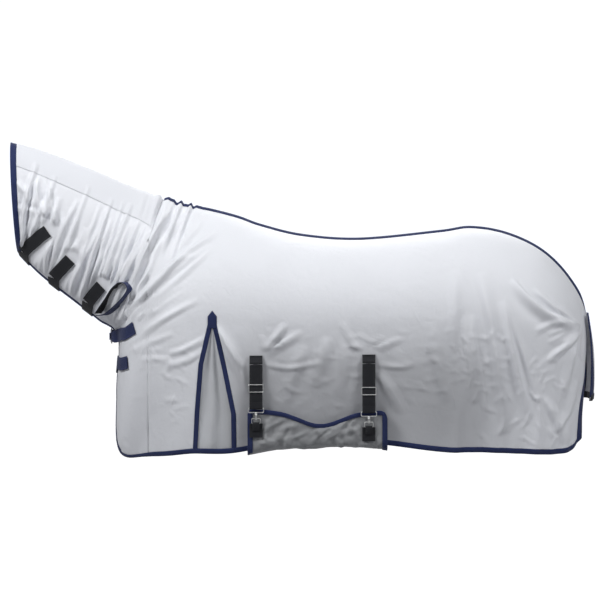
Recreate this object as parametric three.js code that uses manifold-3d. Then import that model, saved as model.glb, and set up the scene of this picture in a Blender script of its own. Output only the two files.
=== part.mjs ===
// Combo-neck fly sheet for a horse, in millimetres: +Z up, -X to the head, -Y to the near (left) side.
// The origin is on the inside of the cloth at the middle of the back.
import * as THREE from 'three'
import { mergeVertices } from 'three/addons/utils/BufferGeometryUtils.js'
import Module from 'manifold-3d'

const wasm = await Module()
wasm.setup()

// ---------------------------------------------------------------- driving dimensions
const CLOTH = 3            // wall of each cloth panel, with its lining and fold allowance
const TAPE = 1.8           // binding tape, folded double
const TAPE_WIDTH = 19      // visible width of the binding
const WEBBING = 2.4        // strap webbing
const STRAP_WIDTH = 50     // surcingle webbing
const GAP = 1.4            // air between pieces that are sewn face to face
const SEAM = 0.8           // half of the space at the seam along the back
const WIRE = 3             // thickness of the metal loops

// Ribs run over the horse from the top line to the lower edge, from the poll to the dock.
// top and bottom: x, z of the two ends. half: widest half width. hem: half width at the lower edge.
// round: how flat the top is. wide: how far down the widest point is. close: 1 where the sides meet below.
const RIBS = [
  { top: [-1140, 372], bottom: [-1112, -59], half: 100, hem: 12, round: 1.7, wide: 0.52, close: 1 },
  { top: [-1009, 336], bottom: [-1020, -152], half: 108, hem: 12, round: 1.6, wide: 0.52, close: 1 },
  { top: [-807, 259], bottom: [-885, -257], half: 122, hem: 12, round: 1.5, wide: 0.52, close: 1 },
  { top: [-679, 204], bottom: [-795, -327], half: 148, hem: 12, round: 1.45, wide: 0.52, close: 1 },
  { top: [-574, 166], bottom: [-716, -398], half: 188, hem: 12, round: 1.4, wide: 0.5, close: 1 },
  { top: [-481, 131], bottom: [-722, -618], half: 232, hem: 22, round: 1.4, wide: 0.48, close: 0.85 },
  { top: [-411, 115], bottom: [-707, -845], half: 268, hem: 60, round: 1.45, wide: 0.46, close: 0.5 },
  { top: [-341, 100], bottom: [-560, -849], half: 296, hem: 205, round: 1.5, wide: 0.44, close: 0.1 },
  { top: [-244, 74], bottom: [-407, -833], half: 316, hem: 288, round: 1.6, wide: 0.42, close: 0 },
  { top: [-155, 42], bottom: [-256, -829], half: 330, hem: 322, round: 1.75, wide: 0.42, close: 0 },
  { top: [8, 3], bottom: [-40, -794], half: 335, hem: 334, round: 1.85, wide: 0.42, close: 0 },
  { top: [237, -12], bottom: [240, -790], half: 335, hem: 334, round: 1.9, wide: 0.42, close: 0 },
  { top: [551, 18], bottom: [540, -826], half: 330, hem: 326, round: 1.9, wide: 0.42, close: 0 },
  { top: [675, 34], bottom: [660, -830], half: 318, hem: 306, round: 1.9, wide: 0.42, close: 0 },
  { top: [815, 10], bottom: [780, -833], half: 300, hem: 285, round: 1.85, wide: 0.42, close: 0 },
  { top: [951, -55], bottom: [890, -837], half: 270, hem: 262, round: 1.8, wide: 0.42, close: 0 },
  { top: [1055, -158], bottom: [985, -840], half: 225, hem: 230, round: 1.75, wide: 0.42, close: 0 },
  { top: [1125, -290], bottom: [1055, -828], half: 150, hem: 182, round: 1.6, wide: 0.45, close: 0 },
  { top: [1123, -440], bottom: [1094, -785], half: 112, hem: 128, round: 1.5, wide: 0.5, close: 0 },
]
const DOCK = RIBS.length - 1   // rib at the top of the tail
const WITHERS = 4.35           // rib where the neck cover is sewn to the body
const CHEST_CORNER = 6         // rib that ends at the lower front corner
const CREST_DROP = 0.19        // how far the crest strip reaches down each side of the neck
const CHEST_SEAM_X = -586      // upright seam behind the chest

// Outlines on the flank, as x, z seen from the side.
const GUSSET = [
  [-336, -300], [-380, -490], [-396, -680], [-408, -870], [-254, -870], [-255, -680], [-287, -517],
]
const GUSSET_PEAK = [[-336, -284], [-354, -306], [-354, -352], [-318, -352], [-318, -306]]

// Neck straps: x, z of the upper end, and the place of the lower end along the throat in ribs.
const NECK_STRAPS = [
  { top: [-985, 22], throat: 0.42 },
  { top: [-896, -88], throat: 1.4 },
  { top: [-773, -191], throat: 2.5 },
]

// Belly straps: middle, top end and lower end of the webbing, and the half width of the body there.
const BELLY_STRAPS = [
  { name: 'front', x: -168, top: -455, end: -655, slider: -580, flank: 334.5 },
  { name: 'rear', x: 263, top: -451, end: -669, slider: -590, flank: 335.5 },
]
const CLIP_OUT = 16          // how far a clip's upper bar stands off the flank

// ---------------------------------------------------------------- materials and assembly
const finishes = {
  cloth: { color: 0xdfe2ea, roughness: 0.75, metalness: 0 },
  navy: { color: 0x1b2356, roughness: 0.7, metalness: 0 },
  black: { color: 0x141418, roughness: 0.8, metalness: 0 },
  steel: { color: 0xb9bcc0, roughness: 0.3, metalness: 1 },
}
const sheet = new THREE.Group()

function add(name, geometry, finish) {
  const mesh = new THREE.Mesh(geometry, new THREE.MeshStandardMaterial(finishes[finish]))
  mesh.name = name
  sheet.add(mesh)
}

// ---------------------------------------------------------------- the form of the horse under the sheet
const lerp = THREE.MathUtils.lerp
const clamp = THREE.MathUtils.clamp

// A smooth curve through one value of every rib.
function along(u, value) {
  const i = clamp(Math.floor(u), 0, DOCK - 1)
  const t = u - i
  const at = (k) => value(RIBS[clamp(k, 0, DOCK)])
  const [a, b, c, d] = [at(i - 1), at(i), at(i + 1), at(i + 2)]
  return b + 0.5 * t * (c - a + t * (2 * a - 5 * b + 4 * c - d + t * (3 * (b - c) + d - a)))
}

function halfWidth(u, v) {
  const half = along(u, (r) => r.half)
  const hem = along(u, (r) => r.hem)
  const wide = along(u, (r) => r.wide)
  if (v < wide) {
    const up = 1 - v / wide
    return half * (1 - up * up) ** (1 / along(u, (r) => r.round))
  }
  const t = Math.min((v - wide) / (1 - wide), 1)
  const closed = hem + (half - hem) * Math.sqrt(1 - t * t)
  const open = half + (hem - half) * t * t
  return lerp(open, closed, along(u, (r) => r.close))
}

// A point of the outside. side is -1 for near and 1 for off; u counts ribs and v goes from 0, top, to 1.
function surface(side, u, v) {
  const x = lerp(along(u, (r) => r.top[0]), along(u, (r) => r.bottom[0]), v)
  const z = lerp(along(u, (r) => r.top[1]), along(u, (r) => r.bottom[1]), v)
  return new THREE.Vector3(x, side * Math.max(halfWidth(u, v), SEAM), z)
}

function normal(side, u, v) {
  const step = 0.004
  const low = Math.max(v - step, 0)
  const high = Math.min(v + step, 1)
  const back = surface(side, Math.min(u + step, DOCK), v).sub(surface(side, Math.max(u - step, 0), v))
  const down = surface(side, u, high).sub(surface(side, u, low))
  return back.cross(down).multiplyScalar(side).normalize()
}

// The place on the form that is seen from the side at x, z.
function seenAt(x, z) {
  const miss = (u) => {
    const [ax, az] = [along(u, (r) => r.top[0]), along(u, (r) => r.top[1])]
    const [bx, bz] = [along(u, (r) => r.bottom[0]), along(u, (r) => r.bottom[1])]
    return (bx - ax) * (z - az) - (bz - az) * (x - ax)
  }
  let [low, high] = [0, DOCK]
  for (let i = 0; i < 40; i += 1) {
    const middle = (low + high) / 2
    if (miss(middle) > 0) low = middle
    else high = middle
  }
  const az = along(low, (r) => r.top[1])
  const bz = along(low, (r) => r.bottom[1])
  return [low, clamp((z - az) / (bz - az), 0, 1)]
}

// ---------------------------------------------------------------- solids
// A closed skin between two copies of a grid of points. at(i, j) gives a point and its outward normal.
function skin(columns, rows, at, inner, outer) {
  const position = []
  for (const lift of [inner, outer]) {
    for (let i = 0; i <= columns; i += 1) {
      for (let j = 0; j <= rows; j += 1) {
        const [p, n] = at(i / columns, j / rows)
        const q = p.clone().addScaledVector(n, lift)
        position.push(q.x, q.y, q.z)
      }
    }
  }
  const id = (layer, i, j) => (layer * (columns + 1) + i) * (rows + 1) + j
  const index = []
  const quad = (a, b, c, d) => index.push(a, b, c, a, c, d)
  for (let i = 0; i < columns; i += 1) {
    for (let j = 0; j < rows; j += 1) {
      quad(id(1, i, j), id(1, i + 1, j), id(1, i + 1, j + 1), id(1, i, j + 1))
      quad(id(0, i, j + 1), id(0, i + 1, j + 1), id(0, i + 1, j), id(0, i, j))
    }
    quad(id(0, i, 0), id(0, i + 1, 0), id(1, i + 1, 0), id(1, i, 0))
    quad(id(1, i, rows), id(1, i + 1, rows), id(0, i + 1, rows), id(0, i, rows))
  }
  for (let j = 0; j < rows; j += 1) {
    quad(id(0, 0, j + 1), id(0, 0, j), id(1, 0, j), id(1, 0, j + 1))
    quad(id(0, columns, j), id(0, columns, j + 1), id(1, columns, j + 1), id(1, columns, j))
  }
  const geometry = new THREE.BufferGeometry()
  geometry.setAttribute('position', new THREE.Float32BufferAttribute(position, 3))
  geometry.setIndex(index)
  return facingOut(geometry)
}

// Turns a closed mesh the right way out when its volume comes out negative.
function facingOut(geometry) {
  const p = geometry.getAttribute('position')
  const index = geometry.getIndex().array
  const at = (i) => new THREE.Vector3().fromBufferAttribute(p, index[i])
  let volume = 0
  for (let i = 0; i < index.length; i += 3) volume += at(i).dot(at(i + 1).cross(at(i + 2)))
  if (volume < 0) {
    for (let i = 0; i < index.length; i += 3) {
      [index[i], index[i + 1]] = [index[i + 1], index[i]]
    }
  }
  return geometry
}

function solid(geometry) {
  const bare = geometry.clone()
  bare.deleteAttribute('normal')
  bare.deleteAttribute('uv')
  const merged = mergeVertices(bare, 1e-4)
  return new wasm.Manifold(new wasm.Mesh({
    numProp: 3,
    vertProperties: new Float32Array(merged.getAttribute('position').array),
    triVerts: new Uint32Array(merged.getIndex().array),
  }))
}

function geometryOf(manifold) {
  const mesh = manifold.getMesh()
  const geometry = new THREE.BufferGeometry()
  geometry.setAttribute('position', new THREE.BufferAttribute(mesh.vertProperties, 3))
  geometry.setIndex(new THREE.BufferAttribute(mesh.triVerts, 1))
  return geometry
}

const less = (a, ...tools) => geometryOf(tools.reduce((m, t) => m.subtract(solid(t)), solid(a)))
const shared = (a, b) => geometryOf(solid(a).intersect(solid(b)))
const joined = (...pieces) => geometryOf(pieces.map(solid).reduce((m, p) => m.add(p)))

// A box between two corners.
function block(low, high) {
  const size = high.map((h, i) => h - low[i])
  const box = new THREE.BoxGeometry(...size)
  return box.translate(...low.map((l, i) => l + size[i] / 2))
}

function shapeOf(points) {
  return new THREE.Shape(points.map(([x, y]) => new THREE.Vector2(x, y)))
}

// An outline in x, z, made solid from y0 to y1.
function slab(points, y0, y1, hole) {
  const shape = shapeOf(points)
  if (hole) shape.holes.push(new THREE.Path(hole.map(([x, y]) => new THREE.Vector2(x, y))))
  const prism = new THREE.ExtrudeGeometry(shape, { depth: y1 - y0, bevelEnabled: false })
  return prism.rotateX(Math.PI / 2).translate(0, y1, 0)
}

// An outline in out, up (out is away from the flank), made solid across from x0 to x1.
function profile(points, x0, x1) {
  const prism = new THREE.ExtrudeGeometry(shapeOf(points), { depth: x1 - x0, bevelEnabled: false })
  const frame = new THREE.Matrix4().makeBasis(
    new THREE.Vector3(0, -1, 0), new THREE.Vector3(0, 0, 1), new THREE.Vector3(-1, 0, 0))
  return prism.applyMatrix4(frame).translate(x1, 0, 0)
}

const grown = (points, by) => {
  const middle = points.reduce((s, p) => [s[0] + p[0] / points.length, s[1] + p[1] / points.length], [0, 0])
  return points.map(([x, z]) => {
    const far = Math.hypot(x - middle[0], z - middle[1])
    return [x + (x - middle[0]) / far * by, z + (z - middle[1]) / far * by]
  })
}

// A panel or band that covers a rectangle of the form on one side.
// Neighbours share the same stops down the ribs, so that their facets meet at the seam.
const STOPS = [0, 0.012, 0.04, 0.1, CREST_DROP, 0.29, 0.4, 0.52, 0.64, 0.76, 0.87, 0.95, 0.985, 1]

function panel(side, [u0, u1], firstStop, columns) {
  const stops = STOPS.slice(firstStop)
  if (firstStop) stops[0] += 0.004
  const at = (s, t) => {
    const u = lerp(u0, u1, s)
    const v = stops[Math.round(t * (stops.length - 1))]
    return [surface(side, u, v), normal(side, u, v)]
  }
  return skin(columns, stops.length - 1, at, -CLOTH, 0)
}

// A band over the top that reaches down to the same stop on both sides; w is v with a sign for the side.
function saddle([u0, u1], reach, columns, inner, outer) {
  const half = STOPS.filter((v) => v > 0 && v <= reach)
  const stops = [...half.map((v) => -v).reverse(), 0, ...half]
  const at = (s, t) => {
    const u = lerp(u0, u1, s)
    const w = stops[Math.round(t * (stops.length - 1))]
    const side = w < 0 ? -1 : 1
    const p = surface(side, u, Math.abs(w))
    const n = normal(side, u, Math.max(Math.abs(w), 0.002))
    if (Math.abs(w) < 1e-6) {
      p.y = 0
      n.set(n.x, 0, n.z).normalize()
    }
    return [p, n]
  }
  return skin(columns, stops.length - 1, at, inner, outer)
}

// A band that keeps its width beside the lower edge or beside a rib.
function edgeBand(side, [u0, u1], columns, width, inner, outer) {
  const at = (s, t) => {
    const u = lerp(u0, u1, s)
    const drop = surface(side, u, 1).distanceTo(surface(side, u, 0.98)) / 0.02
    const v = 1 - t * width / drop
    return [surface(side, u, v), normal(side, u, v)]
  }
  return skin(columns, 2, at, inner, outer)
}

function ribBand(side, u, toward, [v0, v1], rows, width, inner, outer) {
  const at = (s, t) => {
    const v = lerp(v0, v1, s)
    const pace = surface(side, u, v).distanceTo(surface(side, u + toward * 0.02, v)) / 0.02
    const place = u + toward * t * width / pace
    return [surface(side, place, v), normal(side, place, v)]
  }
  return skin(rows, 2, at, inner, outer)
}

// A flat strip laid on the form along a list of [side, u, v].
function strip(path, width, inner, outer, steps = 8) {
  const centre = path.map(([side, u, v]) => surface(side, u, v))
  const out = path.map(([side, u, v]) => normal(side, u, v))
  const line = new THREE.CatmullRomCurve3(centre)
  const lean = new THREE.CatmullRomCurve3(out)
  const at = (s, t) => {
    const n = lean.getPoint(s).normalize()
    const across = line.getTangent(s).cross(n).normalize()
    return [line.getPoint(s).addScaledVector(across, (t - 0.5) * width), n]
  }
  return skin(steps, 2, at, inner, outer)
}

// A cut-out that follows the form: every point of a grid between two outlines in x, z.
function laid(side, x0, x1, z0, z1, inner, outer, columns = 4, rows = 4) {
  const at = (s, t) => {
    const [u, v] = seenAt(lerp(x0, x1, s), lerp(z0, z1, t))
    return [surface(side, u, v), normal(side, u, v)]
  }
  return skin(columns, rows, at, inner, outer)
}

// ---------------------------------------------------------------- neck cover
const sides = [['near', -1], ['off', 1]]
const neckSpan = [0, WITHERS]
add('crest_strip', saddle(neckSpan, CREST_DROP, 18, -CLOTH, 0), 'cloth')
const POLL_BAND = [0.01, 0.162]        // ribs that the tape covers beside the poll edge
const THROAT_RAISE = 0.3               // the throat tape lies a little over the poll tape
add('poll_edge_binding', saddle(POLL_BAND, 1, 1, GAP, GAP + TAPE), 'navy')
for (const [name, side] of sides) {
  add(`neck_cover_${name}`, panel(side, neckSpan, 4, 18), 'cloth')
  const throat = [0.17, WITHERS - 0.02]
  const over = GAP + THROAT_RAISE
  add(`throat_binding_${name}`, edgeBand(side, throat, 24, TAPE_WIDTH, over, over + TAPE), 'navy')
}

// ---------------------------------------------------------------- body panels, gussets and bindings
const spineAt = (s, t) => {
  const u = lerp(WITHERS + 0.05, DOCK, s)
  const y = lerp(-TAPE_WIDTH / 2, TAPE_WIDTH / 2, t)
  let [low, high] = [0, 0.1]
  for (let i = 0; i < 30; i += 1) {
    const middle = (low + high) / 2
    if (halfWidth(u, middle) < Math.abs(y)) low = middle
    else high = middle
  }
  const p = surface(1, u, low)
  const ridge = surface(1, Math.min(u + 0.01, DOCK), 0).sub(surface(1, Math.max(u - 0.01, 0), 0))
  return [p.setY(y), new THREE.Vector3(-ridge.z, 0, ridge.x).normalize()]
}
add('spine_binding', skin(30, 4, spineAt, GAP + 1, GAP + 1 + TAPE), 'navy')

for (const [name, side] of sides) {
  const wide = (a, b) => [Math.min(side * a, side * b), Math.max(side * a, side * b)]
  const [y0, y1] = wide(150, 480)
  const whole = panel(side, [WITHERS + 0.03, DOCK], 0, 32)
  const front = block([-1400, -600, -900], [CHEST_SEAM_X - 0.5, 600, 400])
  const rear = block([CHEST_SEAM_X + 0.5, -600, -900], [1400, 600, 400])
  const wedge = slab(grown(GUSSET, 1), y0, y1)
  add(`chest_panel_${name}`, shared(whole, front), 'cloth')
  add(`side_panel_${name}`, less(geometryOf(solid(whole).intersect(solid(rear))), wedge), 'cloth')

  const insert = shared(whole, slab(grown(GUSSET, -1), y0, y1))
  add(`gusset_insert_${name}`, insert, 'cloth')

  const raised = laid(side, -470, -200, -840, -270, GAP, GAP + TAPE, 10, 14)
  const legs = slab(grown(GUSSET, 9), y0, y1, grown(GUSSET, -9))
  const under = block([-1000, -600, -828], [1000, 600, -350])
  const shape = solid(legs).intersect(solid(under)).add(solid(slab(GUSSET_PEAK, y0, y1)))
  add(`gusset_binding_${name}`, geometryOf(solid(raised).intersect(shape)), 'navy')

  add(`chest_edge_binding_${name}`,
    edgeBand(side, [WITHERS + 0.02, CHEST_CORNER + 0.02], 10, TAPE_WIDTH, GAP, GAP + TAPE), 'navy')
  const hem = edgeBand(side, [CHEST_CORNER + 0.04, DOCK - 0.02], 40, TAPE_WIDTH, GAP, GAP + TAPE)
  const hemFront = block([-1400, -600, -1000], [-418, 600, 0])
  const hemRear = block([-242, -600, -1000], [1400, 600, 0])
  const hemGusset = block([-393, -600, -1000], [-268, 600, 0])
  add(`hem_binding_front_${name}`, shared(hem, hemFront), 'navy')
  add(`hem_binding_gusset_${name}`, shared(hem, hemGusset), 'navy')
  const rearEdge = ribBand(side, DOCK - 0.02, -1, [0.12, 0.99], 10, TAPE_WIDTH, GAP, GAP + TAPE)
  add(`hem_binding_rear_${name}`, joined(shared(hem, hemRear), rearEdge), 'navy')
}

// ---------------------------------------------------------------- neck closures
const OVER_TAPE = GAP + TAPE + 1.4    // height of a strap that crosses a binding

// A strap that passes under the throat, from v near to v off.
function underThroat(throat, nearV, offV, width) {
  const stops = [
    [-1, nearV], [-1, 0.975], [-1, 0.99], [-1, 1],
    [1, 1], [1, 0.99], [1, 0.975], [1, 0.95], [1, 0.92], [1, 0.88], [1, offV],
  ]
  const pace = surface(1, throat + 0.1, 1).distanceTo(surface(1, throat - 0.1, 1)) / 0.2
  const at = (s, t) => {
    const [side, v] = stops[Math.round(s * (stops.length - 1))]
    const u = throat + (t - 0.5) * width / pace
    return [surface(side, u, v), normal(side, u, v)]
  }
  return skin(stops.length - 1, 2, at, OVER_TAPE, OVER_TAPE + WEBBING)
}

NECK_STRAPS.forEach(({ top, throat }, i) => {
  const [u, v] = seenAt(...top)
  const route = (t) => [-1, lerp(u, throat, t), lerp(v, 0.925, t)]
  const full = [0, 0.25, 0.5, 0.75, 1].map(route)
  const grip = [0.1, 0.4, 0.7].map(route)
  const lift = OVER_TAPE + 0.6
  add(`neck_strap_${i + 1}`, strip(full, STRAP_WIDTH, lift, lift + WEBBING), 'black')
  add(`neck_loop_patch_${i + 1}`, strip(grip, STRAP_WIDTH - 6, 1.2, OVER_TAPE - 0.4), 'black')
  add(`neck_strap_base_${i + 1}`, underThroat(throat, 0.955, 0.8, STRAP_WIDTH), 'black')
})

// The loop strap at the foot of the neck: a teardrop of webbing that stands away from the cloth.
// Its outline is drawn along the strap from the sewn foot, which is the origin, and up.
const LOOP = [
  [0, 4], [22, 30], [50, 60], [84, 100], [122, 124], [152, 122],
  [166, 102], [142, 68], [92, 30], [46, 2], [4, -4],
]
const LOOP_FOOT = [-776, -107, -303]
const LOOP_TURN = -38          // degrees that the loop turns away from the flank
const LOOP_WIDE = 38           // width of the loop's webbing

function ribbon(points, thick, wide, steps) {
  const curve = new THREE.CatmullRomCurve3(points.map(([x, z]) => new THREE.Vector3(x, 0, z)))
  const at = (s, t) => {
    const tangent = curve.getTangent(s)
    return [curve.getPoint(s).setY(-t * wide), new THREE.Vector3(-tangent.z, 0, tangent.x)]
  }
  return skin(steps, 1, at, -thick / 2, thick / 2)
}
const loop = ribbon(LOOP, WEBBING, LOOP_WIDE, 36)
loop.rotateZ(THREE.MathUtils.degToRad(LOOP_TURN)).translate(...LOOP_FOOT)
add('loop_strap', loop, 'navy')

// ---------------------------------------------------------------- clips
// A wide-eye hook with a spring gate, a ring and the ring's patch. Lengths run down from the eye's upper bar.
const EYE_HALF = 31          // half width of the hook's eye
const EYE_BAR = 2            // radius of the eye's upper bar
const RING_HALF = 18         // half width of the ring
const RING_TOP = 38          // how far the ring's top is below the eye's bar
const RING_TALL = 22
const HOOK_HALF = 4.5        // half width of the hook's strip
const FOLD_BACK = CLIP_OUT - EYE_BAR - 0.5 - WEBBING      // back of webbing that is folded round a bar
const FOLD_FRONT = CLIP_OUT + EYE_BAR + 0.5 + WEBBING     // and its front

function bar(radius, half, out, up) {
  return new THREE.CylinderGeometry(radius, radius, 2 * half, 12).rotateZ(Math.PI / 2).translate(0, -out, up)
}

function eyeHook() {
  const ears = [-1, 1].map((s) => block(
    [s * EYE_HALF - WIRE / 2 - s * WIRE / 2, -CLIP_OUT - 2, -16],
    [s * EYE_HALF + WIRE / 2 - s * WIRE / 2, -CLIP_OUT + 2, 2.5]))
  const foot = block([-EYE_HALF, -CLIP_OUT - 2, -19], [EYE_HALF, -CLIP_OUT + 2, -15])
  const [front, back] = [CLIP_OUT + 7, CLIP_OUT - 7.2]
  const [low, tip] = [-RING_TOP - 7.5, -RING_TOP + 6]
  const hook = profile([
    [front, -14], [CLIP_OUT - 2, -14], [CLIP_OUT - 2, -19], [front - 3, -22], [front - 3, low + 4],
    [front - 4.2, low + 2.6], [back + 3, low + 2.6], [back + 2, low + 4], [back + 2, tip], [back, tip],
    [back, low + 2], [back + 2, low], [front - 2, low], [front, low + 2],
  ], -HOOK_HALF, HOOK_HALF)
  return joined(bar(EYE_BAR, EYE_HALF, CLIP_OUT, 0), ...ears, foot, hook)
}

function gate() {
  const [front, back] = [CLIP_OUT + 3.4, CLIP_OUT - 4.6]
  return profile([
    [front, -22.5], [front, -24.5], [back + 0.2, -RING_TOP + 5], [back - 0.4, -RING_TOP + 6.4],
    [front - 1.4, -22.5],
  ], -HOOK_HALF + 1, HOOK_HALF - 1)
}

function ring() {
  const outline = (half, top, low) => [
    [-half, low], [half, low], [half, top - 4], [half - 4, top], [4 - half, top], [-half, top - 4],
  ]
  const low = -RING_TOP - RING_TALL
  return slab(outline(RING_HALF, -RING_TOP, low), -CLIP_OUT - WIRE / 2, -CLIP_OUT + WIRE / 2,
    outline(RING_HALF - WIRE, -RING_TOP - WIRE, low + WIRE))
}

// A patch of webbing whose upper end is folded round the ring's lower bar.
function ringPatch(base, half, tall) {
  const middle = -RING_TOP - RING_TALL + WIRE / 2
  const [front, rear] = [CLIP_OUT + 2, CLIP_OUT - 2]
  const foldHalf = RING_HALF - WIRE - 1.2
  const fold = profile([
    [base + 0.5, middle - 28], [front + WEBBING, middle - 28], [front + WEBBING, middle + 3.4],
    [front + 1, middle + 5], [base + 0.5, middle + 5],
  ], -foldHalf, foldHalf)
  const channel = profile([
    [rear, middle - 2.2], [front, middle - 2.2], [front, middle + 2.2], [rear, middle + 2.2],
  ], -half, half)
  const patch = profile([
    [base, middle + 1], [base + 1.8, middle + 1], [base + 1.8, middle - tall], [base, middle - tall],
  ], -half, half)
  return joined(less(fold, channel), patch)
}

// ---------------------------------------------------------------- belly straps on the near side
for (const { name, x, top, end, slider, flank } of BELLY_STRAPS) {
  const place = (geometry) => geometry.translate(x, -flank, end)
  const half = STRAP_WIDTH / 2
  const [back, front] = [FOLD_BACK, FOLD_FRONT]
  const [backFace, frontFace] = [back + WEBBING, front - WEBBING]
  const [inside, under] = [-EYE_BAR - 0.5, -EYE_BAR - 0.5 - WEBBING]
  const high = top - end
  add(`belly_strap_anchor_${name}`, place(profile([
    [GAP, high], [GAP, high - 33], [backFace, high - 33], [backFace, high - 22], [GAP + WEBBING, high],
  ], -half, half)), 'black')
  add(`belly_strap_${name}`, place(profile([
    [back, high - 36], [back, -3], [back + 1.4, under], [front - 1.4, under], [front, -3], [front, 22],
    [frontFace, 22], [frontFace, -1.6], [frontFace - 1, inside], [backFace + 1, inside], [backFace, -1.6],
    [backFace, high - 36],
  ], -half, half)), 'black')

  const at = slider - end
  const wide = half + 1.5
  const bars = [[13, 1], [0, -1], [-13, 1]].map(([up, face]) => {
    const out = back + WEBBING / 2 + face * (WEBBING / 2 + 2.2)
    return block([-wide - 2, -out - 1.5, at + up - 2], [wide + 2, -out + 1.5, at + up + 2])
  })
  const ends = [-1, 1].map((s) => block(
    [s * (wide + 1.5) - 1.5, -back - WEBBING - 3.8, at - 15],
    [s * (wide + 1.5) + 1.5, -back + 3.8, at + 15]))
  add(`belly_slider_${name}`, place(joined(...bars, ...ends)), 'steel')

  add(`belly_hook_${name}`, place(eyeHook()), 'steel')
  add(`belly_hook_gate_${name}`, place(gate()), 'steel')
  add(`belly_ring_${name}`, place(ring()), 'steel')
  add(`belly_flap_patch_${name}`, place(ringPatch(8.8, half, 50)), 'black')
}

// ---------------------------------------------------------------- chest closures
// The upper clip lies across the chest: its parts hang from the off side towards the near side.
const CHEST_CLIP = new THREE.Matrix4()
  .makeBasis(new THREE.Vector3(0, 0, 1), new THREE.Vector3(1, 0, 0), new THREE.Vector3(0, 1, 0))
  .setPosition(-730, 34, -392)
const onChest = (geometry) => geometry.applyMatrix4(CHEST_CLIP)
const CHEST_HALF = STRAP_WIDTH / 2
const [backFace, frontFace] = [FOLD_BACK + WEBBING, FOLD_FRONT - WEBBING]
const [inside, under] = [-EYE_BAR - 0.5, -EYE_BAR - 0.5 - WEBBING]
add('chest_strap_off', onChest(profile([
  [-30, 92], [FOLD_BACK - 2, 40], [FOLD_BACK, 24], [FOLD_BACK, -3], [FOLD_BACK + 1.4, under],
  [FOLD_FRONT - 1.4, under], [FOLD_FRONT, -3], [FOLD_FRONT, 22], [frontFace, 22], [frontFace, -1.6],
  [frontFace - 1, inside], [backFace + 1, inside], [backFace, -1.6], [backFace, 25], [FOLD_BACK, 42],
  [-28.5, 94],
], -CHEST_HALF, CHEST_HALF)), 'navy')
add('chest_hook', onChest(eyeHook()), 'steel')
add('chest_hook_gate', onChest(gate()), 'steel')
add('chest_ring', onChest(ring()), 'steel')

// The upper tab is folded round the ring, runs back to the chest and lies on it round the near side.
const foldFront = CLIP_OUT + 2
const ringBar = -RING_TOP - RING_TALL + WIRE / 2
const tabFold = profile([
  [foldFront - 5, ringBar - 12], [foldFront + WEBBING, ringBar - 9], [foldFront + WEBBING, ringBar + 3.4],
  [foldFront + 1, ringBar + 5], [CLIP_OUT - 4.4, ringBar + 5], [CLIP_OUT - 4.4, ringBar - 8],
], -RING_HALF + WIRE + 1.2, RING_HALF - WIRE - 1.2)
const tabChannel = profile([
  [CLIP_OUT - 2, ringBar - 2.2], [foldFront, ringBar - 2.2], [foldFront, ringBar + 2.2],
  [CLIP_OUT - 2, ringBar + 2.2],
], -CHEST_HALF, CHEST_HALF)
const tabRun = profile([
  [CLIP_OUT - 4.4, ringBar - 6], [CLIP_OUT, ringBar - 11], [-9, ringBar - 58], [-12.5, ringBar - 56],
], -CHEST_HALF, CHEST_HALF)
const tabRoute = [[-1, 4.07, 0.962], [-1, 4.3, 0.88], [-1, 4.6, 0.78], [-1, 4.98, 0.65]]
const tabLaid = strip(tabRoute, STRAP_WIDTH, OVER_TAPE, OVER_TAPE + WEBBING, 12)
add('chest_tab_upper', joined(onChest(less(tabFold, tabChannel)), onChest(tabRun), tabLaid), 'navy')

// The lower tab comes from the off side round the front edge and grips the near side.
const LOWER_TAB = 4.56         // rib where the lower tab crosses the front edge
const lowerLift = OVER_TAPE + 1
const lowerTop = seenAt(-664, -487)
const lowerRoute = (t) => [-1, lerp(lowerTop[0], LOWER_TAB, t), lerp(lowerTop[1], 0.965, t)]
const lowerPath = [0, 0.25, 0.5, 0.75, 1].map(lowerRoute)
add('chest_tab_lower', strip(lowerPath, STRAP_WIDTH, lowerLift, lowerLift + WEBBING), 'navy')
add('chest_tab_lower_base', underThroat(LOWER_TAB, 0.985, 0.84, STRAP_WIDTH), 'navy')

// ---------------------------------------------------------------- belly flap
const FLAP_X = [-198, 338]
const FLAP_OUT = 8           // how far the flap's outside stands off the near side
const FLAP_STOPS = [0, 0.6, 1.3, 2, 3, 4, 5, 5.5, 6, 6.25, 6.5, 6.75, 7, 7.4, 8]   // closest at the bend
const RIM_X = [-128, 226]    // the bound part of the rim, between the two ring patches
const FLAP_RIM = [
  [-186, -659], [-122, -661], [-62, -671], [35, -707], [76, -714], [110, -709], [186, -681], [233, -669],
  [330, -661],
]

function rimHeight(x) {
  const k = clamp(FLAP_RIM.findIndex((p) => p[0] > x), 1, FLAP_RIM.length - 1)
  const [a, b] = [FLAP_RIM[k - 1], FLAP_RIM[k]]
  return lerp(a[1], b[1], clamp((x - a[0]) / (b[0] - a[0]), 0, 1))
}

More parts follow.
